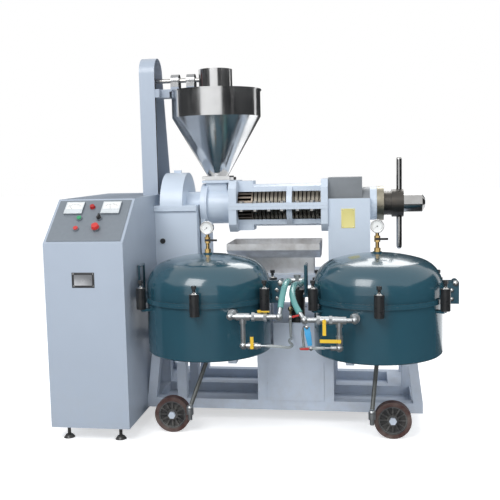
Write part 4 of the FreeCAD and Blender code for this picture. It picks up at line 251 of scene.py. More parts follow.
def make_band_group():
    """One between two distances along a direction, nought outside them."""
    tree, given, result = new_group(
        "Band",
        [("Vector", "NodeSocketVector", (0, 0, 0)), ("Direction", "NodeSocketVector", (0, 0, 1)),
         ("Low", "NodeSocketFloat", 0.0), ("High", "NodeSocketFloat", 1.0)],
        [("Mask", "NodeSocketFloat")])
    along = add_node(tree, "ShaderNodeVectorMath", operation="DOT_PRODUCT")
    link(tree, given.outputs["Vector"], along.inputs[0])
    link(tree, given.outputs["Direction"], along.inputs[1])
    above = maths(tree, "GREATER_THAN", along.outputs["Value"], given.outputs["Low"])
    below = maths(tree, "LESS_THAN", along.outputs["Value"], given.outputs["High"])
    link(tree, maths(tree, "MULTIPLY", above, below), result.inputs["Mask"])
    return tree


def make_ring_group():
    """One between two distances from an axis, nought outside them."""
    tree, given, result = new_group(
        "Round an axis",
        [("Vector", "NodeSocketVector", (0, 0, 0)), ("Centre", "NodeSocketVector", (0, 0, 0)),
         ("Across", "NodeSocketVector", (1, 1, 0)), ("Low", "NodeSocketFloat", 0.0),
         ("High", "NodeSocketFloat", 1.0)],
        [("Mask", "NodeSocketFloat")])
    moved = add_node(tree, "ShaderNodeVectorMath", operation="SUBTRACT")
    link(tree, given.outputs["Vector"], moved.inputs[0])
    link(tree, given.outputs["Centre"], moved.inputs[1])
    flat = add_node(tree, "ShaderNodeVectorMath", operation="MULTIPLY")
    link(tree, moved.outputs[0], flat.inputs[0])
    link(tree, given.outputs["Across"], flat.inputs[1])
    reach = add_node(tree, "ShaderNodeVectorMath", operation="LENGTH")
    link(tree, flat.outputs[0], reach.inputs[0])
    above = maths(tree, "GREATER_THAN", reach.outputs["Value"], given.outputs["Low"])
    below = maths(tree, "LESS_THAN", reach.outputs["Value"], given.outputs["High"])
    link(tree, maths(tree, "MULTIPLY", above, below), result.inputs["Mask"])
    return tree


# Width of the line that joins the outer ends of the marks, in metres.
RIM_LINE = 0.0006


def make_scale_group():
    """Marks of a dial: ticks at equal turns between two radii, over a part of the circle."""
    tree, given, result = new_group(
        "Dial marks",
        [("Vector", "NodeSocketVector", (0, 0, 0)), ("Centre", "NodeSocketVector", (0, 0, 0)),
         ("Tilt", "NodeSocketFloat", 0.0), ("Step", "NodeSocketFloat", 0.3),
         ("Sweep", "NodeSocketFloat", 2.3), ("Inner", "NodeSocketFloat", 0.02),
         ("Outer", "NodeSocketFloat", 0.025), ("Width", "NodeSocketFloat", 0.001)],
        [("Mask", "NodeSocketFloat")])
    moved = add_node(tree, "ShaderNodeVectorMath", operation="SUBTRACT")
    link(tree, given.outputs["Vector"], moved.inputs[0])
    link(tree, given.outputs["Centre"], moved.inputs[1])
    laid = add_node(tree, "ShaderNodeVectorRotate", rotation_type="X_AXIS")
    link(tree, moved.outputs[0], laid.inputs["Vector"])
    link(tree, given.outputs["Tilt"], laid.inputs["Angle"])
    place = add_node(tree, "ShaderNodeSeparateXYZ")
    link(tree, laid.outputs[0], place.inputs[0])
    across, up = place.outputs["X"], place.outputs["Y"]
    turn = maths(tree, "ARCTAN2", across, up)
    squares = maths(tree, "ADD", maths(tree, "MULTIPLY", across, across), maths(tree, "MULTIPLY", up, up))
    reach = maths(tree, "SQRT", squares)
    turns = maths(tree, "DIVIDE", turn, given.outputs["Step"])
    steps = maths(tree, "FRACT", maths(tree, "ADD", turns, 0.5))
    aside = maths(tree, "ABSOLUTE", maths(tree, "SUBTRACT", steps, 0.5))
    length = maths(tree, "MULTIPLY", maths(tree, "MULTIPLY", aside, given.outputs["Step"]), reach)
    tick = maths(tree, "LESS_THAN", length, maths(tree, "MULTIPLY", given.outputs["Width"], 0.5))
    inside = maths(tree, "MULTIPLY", maths(tree, "GREATER_THAN", reach, given.outputs["Inner"]),
                   maths(tree, "LESS_THAN", reach, given.outputs["Outer"]))
    swept = maths(tree, "LESS_THAN", maths(tree, "ABSOLUTE", turn), given.outputs["Sweep"])
    line = maths(tree, "MULTIPLY", inside, swept)
    rim_start = maths(tree, "SUBTRACT", given.outputs["Outer"], RIM_LINE)
    rim = maths(tree, "MULTIPLY", line, maths(tree, "GREATER_THAN", reach, rim_start))
    link(tree, maths(tree, "MAXIMUM", maths(tree, "MULTIPLY", line, tick), rim), result.inputs["Mask"])
    return tree


WEAR = make_wear_group()
MOTTLE = make_mottle_group()
DUST = make_dust_group()
STREAKS = make_streak_group()
BAND = make_band_group()
ROUND = make_ring_group()
MARKS = make_scale_group()

# Values that the finishes share: relief in metres, the undercoat that wear shows, how much duller a
# cloudy patch is, and how far brushing changes the roughness of metal.
RELIEF_DEPTH = 0.001
UNDERCOAT = (0.23, 0.22, 0.21)
CLOUD_DULLNESS = 0.12
BRUSHED = 0.16


def placed(tree, group, **values):
    """A node group placed in a material, with each input a socket or a value."""
    node = add_node(tree, "ShaderNodeGroup", node_tree=group)
    for label, value in values.items():
        socket = node.inputs[label]
        if isinstance(value, bpy.types.NodeSocket):
            link(tree, value, socket)
        elif isinstance(value, tuple) and socket.type == "RGBA":
            socket.default_value = (*value, 1.0)
        else:
            socket.default_value = value
    return node


def bare_material(name):
    """A new material with its shader and the object's own coordinates."""
    material = bpy.data.materials.new(name)
    material.use_nodes = True
    tree = material.node_tree
    shader = tree.nodes["Principled BSDF"]
    where = add_node(tree, "ShaderNodeTexCoord").outputs["Object"]
    return material, tree, shader, where


def bump(tree, shader, height, strength):
    """Relief on a shader from a height."""
    node = add_node(tree, "ShaderNodeBump")
    node.inputs["Strength"].default_value = strength
    node.inputs["Distance"].default_value = RELIEF_DEPTH
    link(tree, height, node.inputs["Height"])
    link(tree, node.outputs["Normal"], shader.inputs["Normal"])


def paint(name, color, shade, roughness, coat, wear, dust, orange_peel=0.08, scale=4.0, strength=0.35):
    """Sprayed enamel with uneven tone, orange peel, worn edges and dust."""
    material, tree, shader, where = bare_material(name)
    tone = placed(tree, MOTTLE, Vector=where, Color=color, Shade=shade, Scale=scale, Strength=strength,
                  Grain=160.0)
    worn = placed(tree, WEAR, Vector=where, Paint=tone.outputs["Color"], Bare=UNDERCOAT, Width=0.0025,
                  Amount=wear)
    dusty = placed(tree, DUST, Vector=where, Color=worn.outputs["Color"], Amount=dust)
    link(tree, dusty.outputs["Color"], shader.inputs["Base Color"])
    dull = maths(tree, "MAXIMUM", worn.outputs["Mask"], dusty.outputs["Mask"])
    clouded = spread(tree, tone.outputs["Cloud"], 0.0, 1.0, roughness, roughness + CLOUD_DULLNESS)
    link(tree, maths(tree, "ADD", clouded, maths(tree, "MULTIPLY", dull, 0.35), True),
         shader.inputs["Roughness"])
    shader.inputs["Coat Weight"].default_value = coat
    shader.inputs["Coat Roughness"].default_value = 0.08
    bump(tree, shader, tone.outputs["Height"], orange_peel)
    return name, material


def metal(name, color, shade, roughness, metallic=1.0, scale=8.0, strength=0.4, stretch=(1, 1, 1),
          streaks=80.0, relief=0.05, wear=0.0, worn_to=(0.75, 0.74, 0.72)):
    """Bare metal with streaks, stains and a rubbed edge."""
    material, tree, shader, where = bare_material(name)
    tone = placed(tree, MOTTLE, Vector=where, Color=color, Shade=shade, Scale=scale, Strength=strength,
                  Grain=420.0)
    worn = placed(tree, WEAR, Vector=where, Paint=tone.outputs["Color"], Bare=worn_to, Width=0.002,
                  Amount=wear)
    lines = placed(tree, STREAKS, Vector=where, Stretch=stretch, Scale=streaks)
    link(tree, worn.outputs["Color"], shader.inputs["Base Color"])
    shader.inputs["Metallic"].default_value = metallic
    uneven = maths(tree, "MULTIPLY", lines.outputs["Streak"], BRUSHED)
    uneven = maths(tree, "ADD", uneven, roughness - BRUSHED / 2)
    stained = maths(tree, "ADD", uneven, maths(tree, "MULTIPLY", tone.outputs["Cloud"], 0.1), True)
    link(tree, stained, shader.inputs["Roughness"])
    bump(tree, shader, maths(tree, "ADD", lines.outputs["Streak"], tone.outputs["Height"]), relief)
    return name, material


def moulded(name, color, shade, roughness, relief=0.05, coat=0.0, transmission=0.0):
    """Moulded or dipped plastic and rubber."""
    material, tree, shader, where = bare_material(name)
    tone = placed(tree, MOTTLE, Vector=where, Color=color, Shade=shade, Scale=20.0, Strength=0.35,
                  Grain=500.0)
    link(tree, tone.outputs["Color"], shader.inputs["Base Color"])
    clouded = spread(tree, tone.outputs["Cloud"], 0.0, 1.0, roughness, roughness + CLOUD_DULLNESS)
    link(tree, clouded, shader.inputs["Roughness"])
    shader.inputs["Coat Weight"].default_value = coat
    shader.inputs["Transmission Weight"].default_value = transmission
    bump(tree, shader, tone.outputs["Height"], relief)
    return name, material


def band(direction, low, high):
    """A zone between two distances along a direction."""
    return BAND, {"Direction": direction, "Low": low, "High": high}


def round_axis(centre, across, low, high):
    """A zone between two distances from an axis."""
    return ROUND, {"Centre": centre, "Across": across, "Low": low, "High": high}


def pieced(name, finish, *zones, scale=12.0, strength=0.45, wear=0.3, relief=0.06, dust=0.05,
           bare=(0.42, 0.41, 0.39)):
    """A material of several finishes, each as colour, shade, roughness and metal, in its own zone."""
    material, tree, shader, where = bare_material(name)
    color, shade, roughness, metallic = finish
    for masks, (zone_color, zone_shade, zone_roughness, zone_metallic) in zones:
        mask = 1.0
        for group, values in masks:
            zone = placed(tree, group, Vector=where, **values)
            mask = maths(tree, "MULTIPLY", zone.outputs["Mask"], mask)
        color = mixed(tree, mask, color, zone_color)
        shade = mixed(tree, mask, shade, zone_shade)
        roughness = blended(tree, mask, roughness, zone_roughness)
        metallic = blended(tree, mask, metallic, zone_metallic)
    tone = placed(tree, MOTTLE, Vector=where, Color=color, Shade=shade, Scale=scale, Strength=strength,
                  Grain=300.0)
    worn = placed(tree, WEAR, Vector=where, Paint=tone.outputs["Color"], Bare=bare, Width=0.002,
                  Amount=wear)
    dusty = placed(tree, DUST, Vector=where, Color=worn.outputs["Color"], Amount=dust)
    lines = placed(tree, STREAKS, Vector=where)
    link(tree, dusty.outputs["Color"], shader.inputs["Base Color"])
    if zones:
        link(tree, metallic, shader.inputs["Metallic"])
    else:
        shader.inputs["Metallic"].default_value = metallic
    uneven = maths(tree, "MULTIPLY", maths(tree, "SUBTRACT", lines.outputs["Streak"], 0.5), BRUSHED)
    link(tree, maths(tree, "ADD", maths(tree, "ADD", roughness, uneven), dusty.outputs["Mask"], True),
         shader.inputs["Roughness"])
    bump(tree, shader, maths(tree, "ADD", lines.outputs["Streak"], tone.outputs["Height"]), relief)
    return name, material


def dial_face(name, centre, tilt, step, sweep, inner, outer, width):
    """White enamel with black marks round a centre."""
    material, tree, shader, where = bare_material(name)
    marks = placed(tree, MARKS, Vector=where, Centre=centre, Tilt=tilt, Step=step, Sweep=sweep, Inner=inner,
                   Outer=outer, Width=width)
    tone = placed(tree, MOTTLE, Vector=where, Color=(0.86, 0.87, 0.86), Shade=(0.74, 0.74, 0.70),
                  Scale=30.0, Strength=0.3, Grain=400.0)
    marked = mixed(tree, marks.outputs["Mask"], tone.outputs["Color"], (0.02, 0.02, 0.02))
    link(tree, marked, shader.inputs["Base Color"])
    link(tree, spread(tree, tone.outputs["Cloud"], 0.0, 1.0, 0.22, 0.3), shader.inputs["Roughness"])
    shader.inputs["Coat Weight"].default_value = 0.8
    bump(tree, shader, tone.outputs["Height"], 0.02)
    return name, material


LIGHT_GREY = (0.62, 0.70, 0.80)
GREY_SHADE = (0.52, 0.595, 0.69)

# Finishes of one zone: colour, shade, roughness and metal.
GREY_PAINT = (LIGHT_GREY, GREY_SHADE, 0.36, 0.0)
CHROME = ((0.66, 0.66, 0.65), (0.46, 0.45, 0.43), 0.12, 1.0)
BRASS = ((0.72, 0.50, 0.20), (0.46, 0.30, 0.12), 0.22, 1.0)
DARK_STEEL = ((0.075, 0.072, 0.068), (0.13, 0.11, 0.09), 0.34, 0.85)

# Ways in which a zone is measured: along an axis, round one, or in all directions from a point.
ALONG_X, ALONG_Y, ALONG_Z = (1, 0, 0), (0, 1, 0), (0, 0, 1)
ROUND_X, ROUND_Y, ALL_ROUND = (0, 1, 1), (1, 0, 1), (1, 1, 1)
FROM_AXIS = -1.0

# The sloping console: its tilt, its lower edge, and where the needles of its two meters turn.
CONSOLE_TILT = math.radians(40.95)
CONSOLE = Matrix.Translation((0, CABINET_FRONT, 0.9545)) @ Matrix.Rotation(CONSOLE_TILT, 4, "X")
METER_X = {"left": -0.956, "right": -0.770}
METER_PLACES = {side: CONSOLE @ Matrix.Translation((x, 0.228, 0.011)) for side, x in METER_X.items()}
METER_PIVOTS = {side: tuple(place @ Vector((0, -0.022, 0))) for side, place in METER_PLACES.items()}


def wheel_finish(side):
    """Brown tyre, black ribbed hub and a pale nut."""
    centre = WHEEL_PLACES[side]
    tyre = ((0.075, 0.030, 0.026), (0.045, 0.024, 0.021), 0.55, 0.0)
    hub = ((0.034, 0.035, 0.038), (0.075, 0.074, 0.074), 0.42, 0.0)
    hub_rim = ((0.11, 0.115, 0.12), (0.07, 0.07, 0.07), 0.4, 0.0)
    nut = ((0.42, 0.37, 0.36), (0.26, 0.22, 0.21), 0.35, 0.7)
    return pieced(f"{side} wheel", tyre,
                  ([round_axis(centre, ROUND_Y, FROM_AXIS, 0.0685)], hub),
                  ([round_axis(centre, ROUND_Y, 0.060, 0.064)], hub_rim),
                  ([round_axis(centre, ROUND_Y, FROM_AXIS, 0.0165)], nut),
                  scale=30.0, dust=0.35, wear=0.15)


def gauge_finish(side):
    """Chrome case and a brass cock."""
    centre = (TANK_PLACES[side], GAUGE_MIDDLE, GAUGE_HEIGHT)
    case = ([round_axis(centre, ROUND_Y, FROM_AXIS, 0.034)], CHROME)
    return pieced(f"{side} gauge", BRASS, case, scale=40.0, wear=0.0)


def gauge_dial(side):
    """Enamel dial of one pressure gauge."""
    centre = (TANK_PLACES[side], GAUGE_FRONT, GAUGE_HEIGHT)
    return dial_face(f"{side} dial", centre, tilt=math.radians(-90), step=math.radians(15), sweep=2.36,
                     inner=0.0195, outer=0.0245, width=0.0009)


def meter_dial(side):
    """Enamel scale of one meter, round the pivot of its needle."""
    return dial_face(f"{side} meter", METER_PIVOTS[side], tilt=-CONSOLE_TILT, step=math.radians(9),
                     sweep=0.79, inner=0.040, outer=0.047, width=0.0011)


# Where one finish of a piece gives way to another, in metres.
FAR = 2.0
DRAIN_LEVELS = (0.150, 0.407)
OIL_GLASS = (-0.6277, 0, 0.906)
GEARBOX_FRONT = -0.1712
PEDESTAL_CAP = 1.116
HOUSING_END = 0.5051
NUT_SLEEVE_END = 0.6445
SPROCKET_END = -0.69
CLAMP_WASHERS = (0.7325, 0.745)
PUMP_RISER = 0.686
PUMP_PORT = (0.076, -0.443, 0.592)
CONSOLE_LAMP = tuple(CONSOLE @ Vector((-0.866, 0.235, 0.018)))

# Each maker gives back the name of its finish with the material.
FINISHES = dict((
    paint("press grey", LIGHT_GREY, GREY_SHADE, roughness=0.36, coat=0.15, wear=0.5, dust=0.12),
    paint("frame grey", (0.58, 0.65, 0.755), (0.45, 0.51, 0.60), roughness=0.42, coat=0.0, wear=0.55,
          dust=0.35),
    paint("cabinet grey", (0.40, 0.46, 0.545), (0.355, 0.41, 0.495), roughness=0.33, coat=0.2, wear=0.35,
          dust=0.15),
    paint("tank teal", (0.021, 0.077, 0.108), (0.016, 0.058, 0.086), roughness=0.16, coat=0.6, wear=0.25,
          dust=0.05, orange_peel=0.05, scale=3.0, strength=0.4),
    paint("black enamel", (0.017, 0.018, 0.020), (0.03, 0.03, 0.032), roughness=0.25, coat=0.5, wear=0.4,
          dust=0.25),
    paint("plate black", (0.03, 0.031, 0.034), (0.06, 0.06, 0.062), roughness=0.32, coat=0.3, wear=0.3,
          dust=0.0, orange_peel=0.04, scale=20.0),
    paint("plate yellow", (0.80, 0.72, 0.28), (0.70, 0.62, 0.22), roughness=0.35, coat=0.3, wear=0.2,
          dust=0.0, orange_peel=0.04, scale=20.0),
    metal("stainless sheet", (0.74, 0.745, 0.75), (0.50, 0.505, 0.51), roughness=0.13, stretch=(1, 1, 0.05),
          relief=0.03),
    metal("tray sheet", (0.86, 0.87, 0.885), (0.26, 0.225, 0.20), roughness=0.34, stretch=(0.06, 1, 1),
          scale=9.0, metallic=0.8, strength=0.6, wear=0.4, worn_to=(0.13, 0.11, 0.10)),
    metal("machined steel", (0.47, 0.465, 0.45), (0.30, 0.28, 0.25), roughness=0.3, stretch=(1, 0.3, 0.3),
          strength=0.5),
    metal("oiled steel", (0.25, 0.235, 0.21), (0.12, 0.10, 0.08), roughness=0.38, scale=14.0, strength=0.7,
          relief=0.12),
    metal("cage bars", (0.17, 0.145, 0.12), (0.07, 0.052, 0.04), roughness=0.34, stretch=(0.05, 1, 1),
          streaks=120.0, strength=0.7),
    metal("press rings", (0.14, 0.13, 0.112), (0.055, 0.047, 0.038), roughness=0.34, strength=0.7),
    metal("polished trim", (0.70, 0.70, 0.69), (0.52, 0.51, 0.49), roughness=0.16, scale=30.0),
    metal("plate silver", (0.50, 0.51, 0.53), (0.34, 0.35, 0.37), roughness=0.3, metallic=0.7, scale=40.0),
    moulded("yellow sleeve", (0.80, 0.52, 0.03), (0.58, 0.36, 0.03), roughness=0.32, coat=0.3),
    moulded("black sleeve", (0.018, 0.018, 0.019), (0.03, 0.03, 0.03), roughness=0.4),
    moulded("blue sleeve", (0.045, 0.33, 0.62), (0.03, 0.24, 0.48), roughness=0.35, coat=0.3),
    moulded("red sleeve", (0.50, 0.03, 0.025), (0.34, 0.02, 0.02), roughness=0.35, coat=0.3),
    moulded("green button", (0.02, 0.34, 0.13), (0.015, 0.24, 0.09), roughness=0.25, coat=0.4),
    moulded("red button", (0.62, 0.03, 0.025), (0.42, 0.02, 0.02), roughness=0.25, coat=0.4),
    moulded("rubber", (0.02, 0.02, 0.02), (0.035, 0.033, 0.03), roughness=0.65, relief=0.2),
    moulded("green hose", (0.16, 0.44, 0.42), (0.09, 0.30, 0.30), roughness=0.18, relief=0.03, coat=0.4,
            transmission=0.25),
    moulded("clear hose", (0.52, 0.56, 0.56), (0.36, 0.40, 0.40), roughness=0.16, relief=0.03, coat=0.4,
            transmission=0.35),
    moulded("meter white", (0.66, 0.70, 0.72), (0.54, 0.58, 0.60), roughness=0.2, coat=0.5),
    moulded("meter black", (0.022, 0.022, 0.024), (0.04, 0.04, 0.042), roughness=0.3, coat=0.4),
    pieced("galvanised", ((0.54, 0.565, 0.58), (0.34, 0.36, 0.37), 0.3, 0.85),
           ([band(ALONG_Z, *DRAIN_LEVELS)], ((0.17, 0.18, 0.175), (0.10, 0.10, 0.095), 0.42, 0.5)),
           scale=40.0, relief=0.14, wear=0.0),
    pieced("gearbox", GREY_PAINT,
           ([round_axis(OIL_GLASS, ROUND_Y, FROM_AXIS, 0.0145), band(ALONG_Y, -FAR, GEARBOX_FRONT)],
            ((0.02, 0.02, 0.021), (0.035, 0.034, 0.033), 0.4, 0.0)),
           scale=4.0, strength=0.35),
    pieced("pedestal", GREY_PAINT,
           ([band(ALONG_Z, PEDESTAL_CAP, FAR)], ((0.235, 0.255, 0.275), (0.13, 0.135, 0.14), 0.45, 0.15)),
           scale=6.0, strength=0.4, wear=0.5),
    pieced("screw housing", GREY_PAINT,
           ([band(ALONG_X, HOUSING_END, FAR)], ((0.36, 0.335, 0.265), (0.13, 0.11, 0.08), 0.3, 0.9)),
           scale=20.0, strength=0.6),
    pieced("screw", DARK_STEEL, scale=24.0, strength=0.6, relief=0.1),
    pieced("nut", ((0.50, 0.50, 0.495), (0.34, 0.33, 0.32), 0.14, 1.0),
           ([round_axis((0, 0, PRESS_AXIS), ROUND_X, FROM_AXIS, 0.0745),
             band(ALONG_X, -FAR, NUT_SLEEVE_END)], DARK_STEEL),
           scale=20.0, strength=0.4, relief=0.05),
    pieced("chain shaft", ((0.47, 0.465, 0.45), (0.30, 0.28, 0.25), 0.28, 1.0),
           ([band(ALONG_X, -FAR, SPROCKET_END)], ((0.16, 0.022, 0.018), (0.09, 0.02, 0.018), 0.42, 0.0))),
    pieced("clamp", ((0.017, 0.018, 0.020), (0.04, 0.038, 0.036), 0.3, 0.0),
           ([band(ALONG_Z, *CLAMP_WASHERS)], CHROME),
           scale=30.0, bare=(0.30, 0.29, 0.28)),
    pieced("shaft bearing", ((0.365, 0.42, 0.50), (0.325, 0.375, 0.455), 0.35, 0.0),
           ([round_axis((0, 0, FEED_AXIS), ROUND_X, FROM_AXIS, 0.048)],
            ((0.40, 0.41, 0.42), (0.20, 0.20, 0.20), 0.24, 1.0)),
           scale=30.0),
    pieced("pump", ((0.02, 0.021, 0.023), (0.05, 0.048, 0.045), 0.32, 0.0),
           ([band(ALONG_Z, PUMP_RISER, FAR)], ((0.56, 0.585, 0.60), (0.36, 0.38, 0.39), 0.3, 0.9)),
           ([round_axis(PUMP_PORT, ALL_ROUND, FROM_AXIS, 0.034)],
            ((0.62, 0.50, 0.30), (0.40, 0.31, 0.18), 0.26, 1.0)),
           scale=30.0),
    pieced("console", ((0.20, 0.228, 0.258), (0.16, 0.185, 0.215), 0.42, 0.1),
           ([round_axis(CONSOLE_LAMP, ALL_ROUND, FROM_AXIS, 0.0185)],
            ((0.42, 0.02, 0.02), (0.28, 0.015, 0.015), 0.22, 0.0)),
           scale=60.0, strength=0.3, relief=0.12, wear=0.2, dust=0.0),
    wheel_finish("left"),
    wheel_finish("right"),
    gauge_finish("left"),
    gauge_finish("right"),
    gauge_dial("left"),
    gauge_dial("right"),
    meter_dial("left"),
    meter_dial("right"),
))

DRESS = {
    "press grey": ["feed_chamber", "cage_upper_half", "cage_lower_half"],
    "gearbox": ["gearbox_lower_case", "gearbox_upper_case"],
    "pedestal": ["discharge_pedestal"],
    "screw housing": ["bearing_housing"],
    "screw": ["choke_screw"],
    "nut": ["hand_nut"],
    "chain shaft": ["feed_shaft"],
    "clamp": ["left_clamps", "right_clamps"],
    "left wheel": ["left_wheel"],
    "right wheel": ["right_wheel"],
    "left gauge": ["left_gauge"],
    "right gauge": ["right_gauge"],
    "frame grey": ["base_frame", "settling_tank"],
    "cabinet grey": ["cabinet_shell", "chain_guard"],
    "console": ["console_panel"],
    "tank teal": ["left_tank", "right_tank", "left_lid", "right_lid"],
    "stainless sheet": ["hopper", "hopper_head", "slide_gate"],
    "tray sheet": ["oil_tray"],
    "machined steel": ["input_shaft", "shaft_bearings", "filter_screens", "agitator", "cage_bolts"],
    "oiled steel": ["worm_shaft", "bull_gear", "feed_chain"],
    "cage bars": ["cage_bars"],
    "press rings": ["press_rings"],
    "galvanised": ["filter_pipework"],
    "shaft bearing": ["feed_bearings"],
    "pump": ["oil_pump"],
    "black enamel": ["drive_motor", "levelling_feet", "motor_pulley"],
    "yellow sleeve": ["left_upper_lever", "left_lower_lever", "right_upper_lever", "right_lower_lever"],
    "black sleeve": ["left_vent_lever", "right_vent_lever", "selector_knob"],
    "green button": ["start_button"],
    "red button": ["stop_button", "emergency_stop"],
    "rubber": ["drive_belts"],
}


def dress_nodes():
    """Give every node that stays its finish."""
    for finish, names in DRESS.items():
        for name in names:
            mesh = nodes[name].data
            mesh.materials.clear()
            mesh.materials.append(FINISHES[finish])


# Hoses: the same routes as the solids, in metres. A green hose starts at an elbow, in the direction in
# which it leaves, at the end of the elbow's reach, and its first run is straight.
GREEN_ENDS = {
    "left": (Vector((0.062, -0.835, 0.631)), Vector((0.1, 0.55, 0.85)).normalized(), 0.0433, 0.049),
    "right": (Vector((0.175, -0.850, 0.621)), Vector((-0.5, 0.6, 0.6)).normalized(), 0.0433, 0.029),
}
GREEN_MIDDLES = {
    "left": [
        (0.076, -0.746, 0.740), (0.080, -0.699, 0.759), (0.085, -0.635, 0.763), (0.079, -0.555, 0.749),
        (0.075, -0.511, 0.732), (0.072, -0.4623, 0.724), (0.072, -0.4153, 0.724)],
    "right": [
        (0.120, -0.770, 0.695), (0.109, -0.718, 0.722), (0.112, -0.626, 0.740), (0.118, -0.558, 0.735),
        (0.131, -0.501, 0.723), (0.140, -0.4563, 0.724), (0.140, -0.4153, 0.724)],
}
GREEN_RADIUS = 0.014
CLEAR_ROUTES = {
    "left": [
        (0.0043, -0.835, 0.500), (0.0333, -0.835, 0.500), (0.069, -0.822, 0.495), (0.101, -0.789, 0.482),
        (0.113, -0.730, 0.479), (0.092, -0.675, 0.480), (0.085, -0.618, 0.481), (0.093, -0.566, 0.471),
        (0.084, -0.511, 0.461), (0.078, -0.467, 0.482), (0.076, -0.443, 0.5217), (0.076, -0.443, 0.5657)],
    "right": [
        (0.2617, -0.850, 0.498), (0.2337, -0.850, 0.498), (0.186, -0.834, 0.490), (0.145, -0.780, 0.476),
        (0.153, -0.719, 0.466), (0.160, -0.674, 0.455), (0.151, -0.624, 0.468), (0.147, -0.573, 0.468),
        (0.140, -0.531, 0.496), (0.142, -0.4886, 0.505), (0.142, -0.4556, 0.505)],
}
CLEAR_RADIUS = 0.0065


def make_hose(name, route, radius, finish, slot):
    """One hose as a smooth line through its route."""
    curve = bpy.data.curves.new(name, "CURVE")
    curve.dimensions = "3D"
    spline = curve.splines.new("NURBS")
    spline.points.add(len(route) - 1)
    for point, spot in zip(spline.points, route):
        point.co = (*spot, 1.0)
    spline.order_u = 3
    spline.use_endpoint_u = True
    curve.resolution_u = 10
    curve.bevel_depth = radius
    curve.bevel_resolution = 6
    curve.use_fill_caps = True
    curve.materials.append(FINISHES[finish])
    hose = bpy.data.objects.new(name + "_tube", curve)
    bpy.context.collection.objects.link(hose)
    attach(hose, ROOT)
    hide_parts(name)
    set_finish(hose, slot)


def make_hoses():
    """The two green oil hoses and the two clear hoses."""
    for side, (elbow, way, reach, first) in GREEN_ENDS.items():
        start = elbow + way * reach
        route = [start, start + way * first] + [Vector(spot) for spot in GREEN_MIDDLES[side]]
        make_hose(f"green_hose_{side}", route, GREEN_RADIUS, "green hose", "hose_green")
        route = [Vector(spot) for spot in CLEAR_ROUTES[side]]
        make_hose(f"clear_hose_{side}", route, CLEAR_RADIUS, "clear hose", "hose_clear")


# Small pieces are shaped lying flat with their front upwards, then turned to face forward.
FACING_FRONT = Matrix.Rotation(math.radians(90), 4, "X")


def start_box(size, centre=(0, 0, 0)):
    """A block to shape, with nothing else selected."""
    bpy.ops.object.select_all(action="DESELECT")
    bpy.ops.mesh.primitive_cube_add(size=1, location=centre, scale=size)
    bpy.ops.object.transform_apply(location=True, rotation=True, scale=True)
    return bpy.context.object


def start_disc(radius, depth, sides=48, base=0.0):
    """A disc to shape, standing on a level, with nothing else selected."""
    bpy.ops.object.select_all(action="DESELECT")
    bpy.ops.mesh.primitive_cylinder_add(vertices=sides, radius=radius, depth=depth,
                                        location=(0, 0, base + depth / 2))
    bpy.ops.object.transform_apply(location=True, rotation=True, scale=True)
    return bpy.context.object


def pick_faces(piece, test):
    """Go into edit mode with only the faces that pass a test selected."""
    bpy.ops.object.mode_set(mode="EDIT")
    bpy.ops.mesh.select_mode(type="FACE")
    bpy.ops.mesh.select_all(action="DESELECT")
    bpy.ops.object.mode_set(mode="OBJECT")
    for face in piece.data.polygons:
        face.select = test(face)
    bpy.ops.object.mode_set(mode="EDIT")


def is_front(face):
    """Whether a face looks up, before the piece is turned to face forward."""
    return face.normal.z > 0.9


def inset_front(piece, width, depth, slot=None):
    """Inset the selected faces by a width and sink or raise what is inside by a depth."""
    bpy.ops.mesh.inset(thickness=width, depth=0)
    bpy.ops.mesh.extrude_region_move(TRANSFORM_OT_translate={"value": (0, 0, depth)})
    if slot is not None:
        piece.active_material_index = slot
        bpy.ops.object.material_slot_assign()


def finish_piece(piece, name, place, body, slot, edge=0.0004):
    """Round the edges, move the piece to its place and let it ride on a body."""
    bpy.ops.object.mode_set(mode="OBJECT")
    piece.name = name
    if edge:
        rounding = piece.modifiers.new("rounding", "BEVEL")
        rounding.width = edge
        rounding.segments = 2
        rounding.limit_method = "ANGLE"
        rounding.angle_limit = math.radians(30)
        bpy.ops.object.modifier_apply(modifier="rounding")
    bpy.ops.object.shade_smooth_by_angle(angle=math.radians(35))
    piece.matrix_world = place
    bpy.ops.object.transform_apply(location=True, rotation=True, scale=True)
    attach(piece, body)
    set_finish(piece, slot)
    return piece


def copy_piece(piece, name, shift, body=ROOT):
    """A copy of a finished piece, with a mesh of its own, moved by a shift."""
    twin = bpy.data.objects.new(name, piece.data.copy())
    twin.data.transform(Matrix.Translation(shift))
    bpy.context.collection.objects.link(twin)
    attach(twin, body)
    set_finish(twin, piece["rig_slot"])
    return twin


def wear_finishes(piece, *finishes):
    """Give a piece its finishes, the first for all faces that aren't assigned another."""
    for finish in finishes:
        piece.data.materials.append(FINISHES[finish])


def make_needle(name, place, length, body):
    """A tapered black needle with a round cap over its pivot."""
    needle = start_box((0.0016, length, 0.0005), (0, length / 2 - 0.004, 0.0009))
    wear_finishes(needle, "meter black")
    pick_faces(needle, lambda face: face.normal.y > 0.9)
    bpy.ops.transform.resize(value=(0.25, 1, 1))
    needle = finish_piece(needle, name, place, body, "black_steel", edge=0.0)
    cap = start_disc(radius=0.003, depth=0.0016, sides=24)
    wear_finishes(cap, "meter black")
    pick_faces(cap, is_front)
    bpy.ops.mesh.inset(thickness=0.0012, depth=0.0004)
    cap = finish_piece(cap, name + "_cap", place, body, "black_steel", edge=0.0003)
    return needle, cap


# The needles stand where the photograph shows them.
GAUGE_NEEDLE_TURN = math.radians(128)
METER_NEEDLE_TURNS = {"left": math.radians(38), "right": math.radians(12)}


